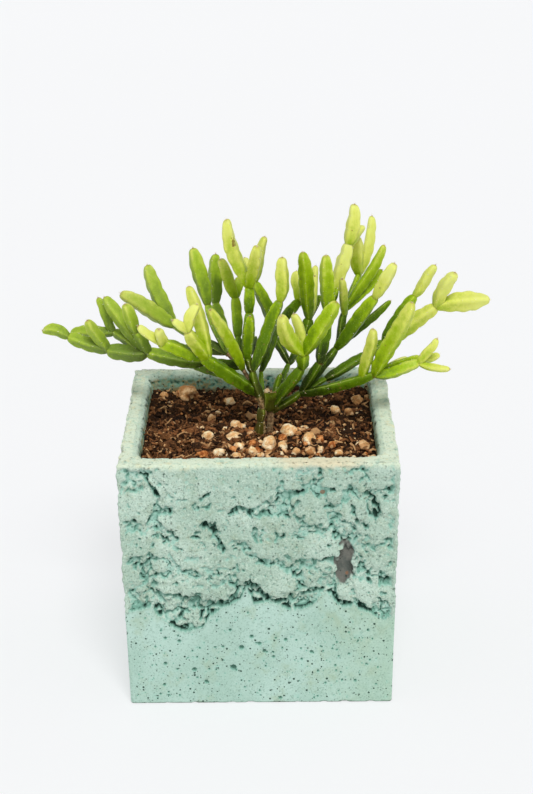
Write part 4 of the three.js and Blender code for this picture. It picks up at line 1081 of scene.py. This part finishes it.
def make_granules(materials, seats):
    """Small grains of pumice and baked clay mixed into the soil."""
    draw = random.Random(8)
    shape = bmesh.new()
    found = []
    while len(found) < GRANULES:
        x, y = draw.uniform(-46.4, 46.4), draw.uniform(-45.4, 47.4)
        if draw.random() < 0.5:
            x, y = draw.gauss(14, 18), draw.gauss(-22, 15)
        if abs(x) < 46.5 and -45.5 < y < 47.5:
            found.append((x, y))
    found += [(draw.gauss(1, 14), max(-43, draw.gauss(-33, 6))) for _ in range(FRONT_GRANULES)]
    spots = [(*spot, number >= GRANULES) for number, spot in enumerate(with_level(found, seats))]
    for part, _, batch in in_batches(shape, spots, 40):
        for x, y, level, at_front in batch:
            size = draw.choice((0.35, 0.45, 0.55, 0.7, 0.9)) * (2 if draw.random() < 0.13 or at_front else 1)
            which = draw.choices((0, 1, 2), (3, 5, 2))[0]
            scale = Matrix.Diagonal((size * draw.uniform(0.8, 1.4), size, size * draw.uniform(0.6, 1.0), 1))
            place = Matrix.Translation((x, y, level + 0.4 * size)) @ spin(draw, "Z") @ scale
            detail = 2 if size > 0.95 else 1
            made = bmesh.ops.create_icosphere(part, subdivisions=detail, radius=1, matrix=place)["verts"]
            for vertex in made:
                vertex.co += 0.5 * size * noise.noise_vector(vertex.co / (1.1 * size))
            paint(made, which)
    finish_piece(shape, "granules", materials, "tan")


def make_grain(name, material, slot, turn):
    """A loose grain of the soil's surface, in the place and size of its solid."""
    low, high = (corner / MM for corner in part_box(name))
    centre, size = (low + high) / 2, (high - low) * 1.25 + Vector((0, 0, 0.5 if slot == "cream" else 0.1))
    shape = bmesh.new()
    made = bmesh.ops.create_icosphere(shape, subdivisions=5, radius=0.5)["verts"]
    shift = Vector((centre.x * 0.37, centre.y * 0.51, turn))
    draw = random.Random(name)
    angular = 0.15 if slot == "cream" else 1.0
    cuts = [(Vector(draw.gauss(0, 1) for _ in range(3)).normalized(), draw.uniform(0.38, 0.5)) for _ in range(12)]
    for vertex in made:
        way = vertex.co.normalized()
        cut = min(0.62, min(reach / max(way.dot(out), 0.3) for out, reach in cuts))
        broad = noise.noise(way * 1.1 + shift)
        facets = noise.voronoi(way * 1.3 + shift)[0][0]
        fine = noise.noise(way * 4.2 + shift)
        pit = max(0.0, 0.26 - noise.voronoi(way * 3.6 + shift)[0][0])
        ball = 0.5 + 0.14 * broad - 0.04 * facets
        vertex.co = way * (ball + angular * (cut - 0.5) + 0.012 * fine - 0.2 * pit)
    low = Vector(min(v.co[i] for v in made) for i in range(3))
    high = Vector(max(v.co[i] for v in made) for i in range(3))
    for vertex in made:
        share = Vector((vertex.co[i] - low[i]) / (high[i] - low[i]) - 0.5 for i in range(3))
        vertex.co = centre + Vector(share[i] * size[i] for i in range(3))
    finish_piece(shape, name.replace("grain", "loose_grain"), [material], slot, name)


# Plant
AROUND = 36  # columns of a segment's skin
STATION_KEYS = (0, 0.05, 0.14, 0.3, 0.5, 0.7, 0.88, 0.955, 0.985, 1)
TIP_SHAPE = (0.36, 0.57, 0.8, 0.97, 1.04, 1.0, 0.82, 0.65, 0.5, 0.33)
JOINT_SHAPE = (0.36, 0.58, 0.81, 0.97, 1.03, 1.0, 0.9, 0.74, 0.58, 0.4)
WOOD_SHAPE = (1, 0.97, 0.92, 0.88, 0.86, 0.88, 0.92, 0.94, 0.92, 0.9)
STUB_SHAPE = (0.4, 0.6, 0.84, 0.98, 1, 0.96, 0.86, 0.82, 0.8, 0.8)
BASE_SHAPE = (1, 1, 1, 1, 1, 1.05, 0.82, 0.66, 0.58, 0.5)
LEAF_SHAPE = (0.34, 0.5, 0.72, 0.96, 1.1, 1.04, 0.7, 0.52, 0.42, 0.28)
SPECIAL_SHAPES = {"stub": STUB_SHAPE, "base": BASE_SHAPE, "right_8": LEAF_SHAPE}
GROOVE = 0.78  # radius between the ribs as a share of the full radius


class Draws:
    """The same seeded draws as the solids are made with."""

    def __init__(self, seed):
        self.state = seed

    def next(self):
        self.state = (self.state * 1664525 + 1013904223) & 0xFFFFFFFF
        return self.state / 4294967296


def read_plant():
    """The stem segments by name, each with the place where it starts on the one that carries it."""
    segments = {}
    for spray, rows in PLANT.items():
        for row in rows:
            usual = (0, 1)[len(row) - 7:]  # the bend and the place on the carrier, where the row leaves them out
            name, parent, x, y, z, width, paleness, bend, share = *row, *usual
            if parent is None:
                start = Vector((*STARTS[name], SOIL_TOP - ROOT_DEPTH))
            else:
                carrier = segments[parent]
                start = carrier["start"].lerp(carrier["tip"], share)
                carrier["carries"] = True
            segments[name] = {
                "name": name, "spray": spray, "parent": parent, "start": start, "tip": Vector((x, y, z)),
                "width": width, "paleness": paleness, "bend": bend, "carries": False, "number": len(segments),
            }
    return segments


def bark_share(name, share, out):
    """How corky the skin of the oldest segments is, at a share of the length and on the side that faces out."""
    if name == "base":
        return 0.16 + max(0.0, out.x - 0.45) * 1.5
    if name == "neck":
        return max(0.0, 1.3 - 2.6 * share) * (0.75 - 0.25 * out.y)
    if name == "stem":
        return max(0.0, out.x - 0.4) * 1.4
    if name == "stub":
        return max(0.0, (share - 0.985) / 0.015) * 0.9 + max(0.0, out.x - 0.8) * 3 * share
    return 0.0


def add_segment(shape, layers, segment):
    """Adds one ribbed stem segment, and gives the places and outward ways of its areoles."""
    name, width, number = segment["name"], segment["width"], segment["number"]
    woody = name in WOODY
    ribs = 3 if width < 5 else 4
    turn = Draws(911 + number * 37).next() * math.pi
    way = (segment["tip"] - segment["start"]).normalized()
    start = segment["start"] - way * (SINK if segment["parent"] else 0)
    length = (segment["tip"] - start).length
    across = Vector((0, 1, 0)).cross(way).normalized()
    deep = across.cross(way)
    usual = JOINT_SHAPE if segment["carries"] else TIP_SHAPE
    keys = WOOD_SHAPE if woody else SPECIAL_SHAPES.get(name, usual)
    draw = random.Random(number)
    notches = max(2, round(length / 5.5))
    phases = [draw.uniform(0, 1) for _ in range(ribs)]
    swing = draw.uniform(-0.35, 0.35)
    bands = max(12, round(length / 0.75))
    stations = [0.0] + [0.5 - 0.5 * math.cos(math.pi * i / bands) for i in range(bands + 1)] + [1.0]

    def axis(share):
        bow = segment["bend"] * 4 * share * (1 - share) + swing * math.sin(2 * math.pi * share) * (not woody)
        return start.lerp(segment["tip"], share) + across * bow

    def rib_wave(share, angle):
        """How far the margin swells between its areoles: 0 in the notch of an areole, 1 at the fullest place."""
        nearest = round((angle - math.pi / 2) / (2 * math.pi / ribs)) % ribs
        step = (share * notches + phases[nearest]) % 1
        return math.sin(math.pi * step ** 0.75)

    def radius_at(share, angle):
        body = float(np.interp(share, STATION_KEYS, keys))
        body *= 1 + 0.1 * noise.noise(Vector((share * length / 7, math.cos(angle), number * 1.7)))
        if woody:
            return width / 2 * body, 0.0
        ridge = (0.5 + 0.5 * math.cos(ribs * (angle - math.pi / 2))) ** 1.5
        groove = 1 + (GROOVE - 1) * body
        swell = 0.05 if segment["spray"].startswith("trunk") else 0.15
        wave = 1 + swell * (rib_wave(share, angle) - 0.65) * ridge * min(1, 7 * share * (1 - share))
        return width / 2 * body * (groove + (1 - groove) * ridge) * wave, ridge

    def outward(angle):
        return across * math.cos(angle + turn) + deep * math.sin(angle + turn)

    rings = bands + 2
    grid = bmesh.ops.create_grid(shape, x_segments=AROUND, y_segments=rings, size=1)["verts"]
    for vertex in grid:
        column = round((vertex.co.x + 1) / 2 * AROUND) % AROUND
        ring = round((vertex.co.y + 1) / 2 * rings)
        share = stations[ring]
        angle = 2 * math.pi * column / AROUND
        radius, ridge = radius_at(share, angle)
        if ring in (0, rings):
            radius = 0
        if woody:
            rind = Vector((math.cos(angle) * 1.3, math.sin(angle) * 1.3, share * length / 1.6 + number))
            radius *= 1 + 0.16 * noise.noise(rind)
        out = outward(angle)
        vertex.co = axis(share) + out * radius
        if ring == rings and name != "stub":
            vertex.co += way * 0.12 * width * (0 if segment["carries"] else 0.25)
        if name == "stub":
            flat = 0.5 * smooth(share, 0.2, 0.7) + 0.44 * smooth(share, 0.7, 1)
            vertex.co -= deep * (flat * radius * math.sin(angle + turn))
        if name == "stub" and ring == rings - 1:
            torn = noise.noise(Vector((math.cos(angle) * 1.9, math.sin(angle) * 1.9, 4)))
            vertex.co += way * (1.1 * torn + 1.6 * max(0.0, out.x - 0.5))
        # Paler towards each segment's tip, where it is younger, and darker towards its base, which is partly painted
        # shade
        vertex[layers["paleness"]] = segment["paleness"] + 0.42 * (share - 0.55)
        vertex[layers["ridge"]] = 0 if woody else ridge
        tail = max(0.0, (share - 0.975) / 0.025) * 0.8
        joint = max(0.0, 1 - share / 0.045) + (tail if segment["carries"] else tail * 0.35)
        vertex[layers["joint"]] = 0 if woody else max(joint, AGED.get(name, 0))
        vertex[layers["bark"]] = 0 if ring == rings else bark_share(name, share, out)
    if woody:
        paint(grid, 1)

    areoles = []
    front = Vector((0, -0.95, 0.3))
    for share in HAIRY.get(name, ()):
        areoles.append((axis(share) + front * width * 0.42, front, 0.3, True))
    if not woody and name != "stub":
        areoles.append((axis(1.0) + way * 0.1, way, 0.52 if segment["carries"] else 0.5, True))
        for rib in range(ribs):
            angle = math.pi / 2 + 2 * math.pi * rib / ribs
            for step in range(notches + 1):
                share = (step - phases[rib]) / notches
                if 0.1 < share < 0.96:
                    out, (radius, _) = outward(angle), radius_at(share, angle)
                    areoles.append((axis(share) + out * (radius - 0.04), (out + 0.6 * way).normalized(), 0.21, False))
    return areoles


def add_areole(part, draw, place, way, size, at_tip):
    """A small corky cushion with its bristles."""
    side = way.orthogonal().normalized()
    lift = way.cross(side)
    turn = Matrix((side, lift, way)).transposed().to_4x4()
    matrix = Matrix.Translation(place) @ turn @ Matrix.Diagonal((size, size, size * 0.6, 1))
    cushion = bmesh.ops.create_icosphere(part, subdivisions=1, radius=1, matrix=matrix)["verts"]
    paint(cushion, 2 if at_tip else 3)
    for _ in range(draw.randint(4, 7) if at_tip else draw.randint(1, 3)):
        around = draw.uniform(0, 2 * math.pi)
        lean = draw.uniform(0.15, 1.0 if at_tip else 0.6)
        beside = side * math.cos(around) + lift * math.sin(around)
        aim = (way * math.cos(lean) + beside * math.sin(lean)).normalized()
        long = draw.uniform(0.5, 1.2) if at_tip else draw.uniform(0.4, 0.9)
        matrix = Matrix.Translation(place + aim * (long / 2 + size * 0.3))
        matrix = matrix @ aim.to_track_quat("Z", "Y").to_matrix().to_4x4()
        paint(bmesh.ops.create_cone(
            part, cap_ends=True, segments=3, radius1=0.07, radius2=0.015, depth=long, matrix=matrix
        )["verts"], 3)


def make_plant(materials):
    segments = read_plant()
    slots = {part["node"]: part["material_slot"] for part in frame["record"]["subparts"]}
    for spray in PLANT:
        node = spray if spray.startswith("trunk") else "spray_" + spray
        shape = bmesh.new()
        layers = {name: shape.verts.layers.float.new(name) for name in ("paleness", "ridge", "joint", "bark")}
        draw = random.Random(spray)
        areoles = []
        for segment in segments.values():
            if segment["spray"] == spray:
                areoles += add_segment(shape, layers, segment)
        bmesh.ops.remove_doubles(shape, verts=shape.verts, dist=0.001)
        for part, _, batch in in_batches(shape, areoles, 12):
            for areole in batch:
                add_areole(part, draw, *areole)
        finish_piece(shape, node + "_stems", materials, slots[node], node)


# Light and floor
def add_stage():
    shape = bmesh.new()
    bmesh.ops.create_grid(shape, x_segments=1, y_segments=1, size=6)
    add_object("pale_floor", as_mesh(shape, "pale_floor", [floor_finish()]))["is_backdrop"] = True

    # A soft room, brightest low down and dimmer overhead
    world = bpy.data.worlds.new("soft_room")
    world.use_nodes = True
    tree = world.node_tree
    place, parts, level = (tree.nodes.new("ShaderNode" + kind) for kind in ("TexCoord", "SeparateXYZ", "MapRange"))
    level.interpolation_type = "SMOOTHSTEP"
    for index, value in ((1, 0.14), (2, 0.5), (3, 0.975), (4, 0.5)):
        level.inputs[index].default_value = value
    glow = tree.nodes["Background"].inputs
    glow["Color"].default_value = (0.98, 0.99, 1.0, 1)
    tree.links.new(place.outputs["Object"], parts.inputs[0])
    tree.links.new(parts.outputs["Z"], level.inputs[0])
    tree.links.new(level.outputs[0], glow["Strength"])
    bpy.context.scene.world = world

    key = bpy.data.lights.new("top_softbox", "SUN")
    key.energy = 2.1
    key.angle = math.radians(24)
    add_object("top_softbox", key).rotation_euler = math.radians(36), math.radians(7), 0
    bpy.context.scene.view_settings.view_transform = "Standard"


aim_camera()
add_stage()
CREAM = grain_finish("cream_grain", tint(224, 168, 108), tint(244, 214, 164), tint(254, 238, 204))
TAN = grain_finish("tan_grain", tint(178, 124, 74), tint(214, 166, 114), tint(236, 196, 148))
RUST = grain_finish("rust_grain", tint(150, 82, 36), tint(204, 128, 66), tint(228, 164, 104))
GRAIN_FINISHES = {"cream": CREAM, "tan": TAN, "rust": RUST}
EARTH = earth_finish()

grain_nodes = sorted(name for name in frame["nodes"] if name.startswith("grain_"))
SEATS = []
for grain in grain_nodes:
    low, high = (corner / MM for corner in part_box(grain))
    size = high - low
    SEATS.append(((low + high) / 2, 0.5 * max(size.x, size.y), low.z + 0.16 * size.z))

make_pot(concrete_finish())
make_soil(EARTH, SEATS)
make_crumbs(EARTH, SEATS)
make_granules([CREAM, TAN, RUST], SEATS)
for index, grain in enumerate(grain_nodes):
    colour = grain.split("_")[1]
    make_grain(grain, GRAIN_FINISHES[colour], colour, index * 1.7)
make_plant([skin_finish(), bark_finish(), cork_finish(), bristle_finish()])

boxes = {"solids": SOLID_BOX, "dressed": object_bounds()}
{name: [list(corner) for corner in box] for name, box in boxes.items()}
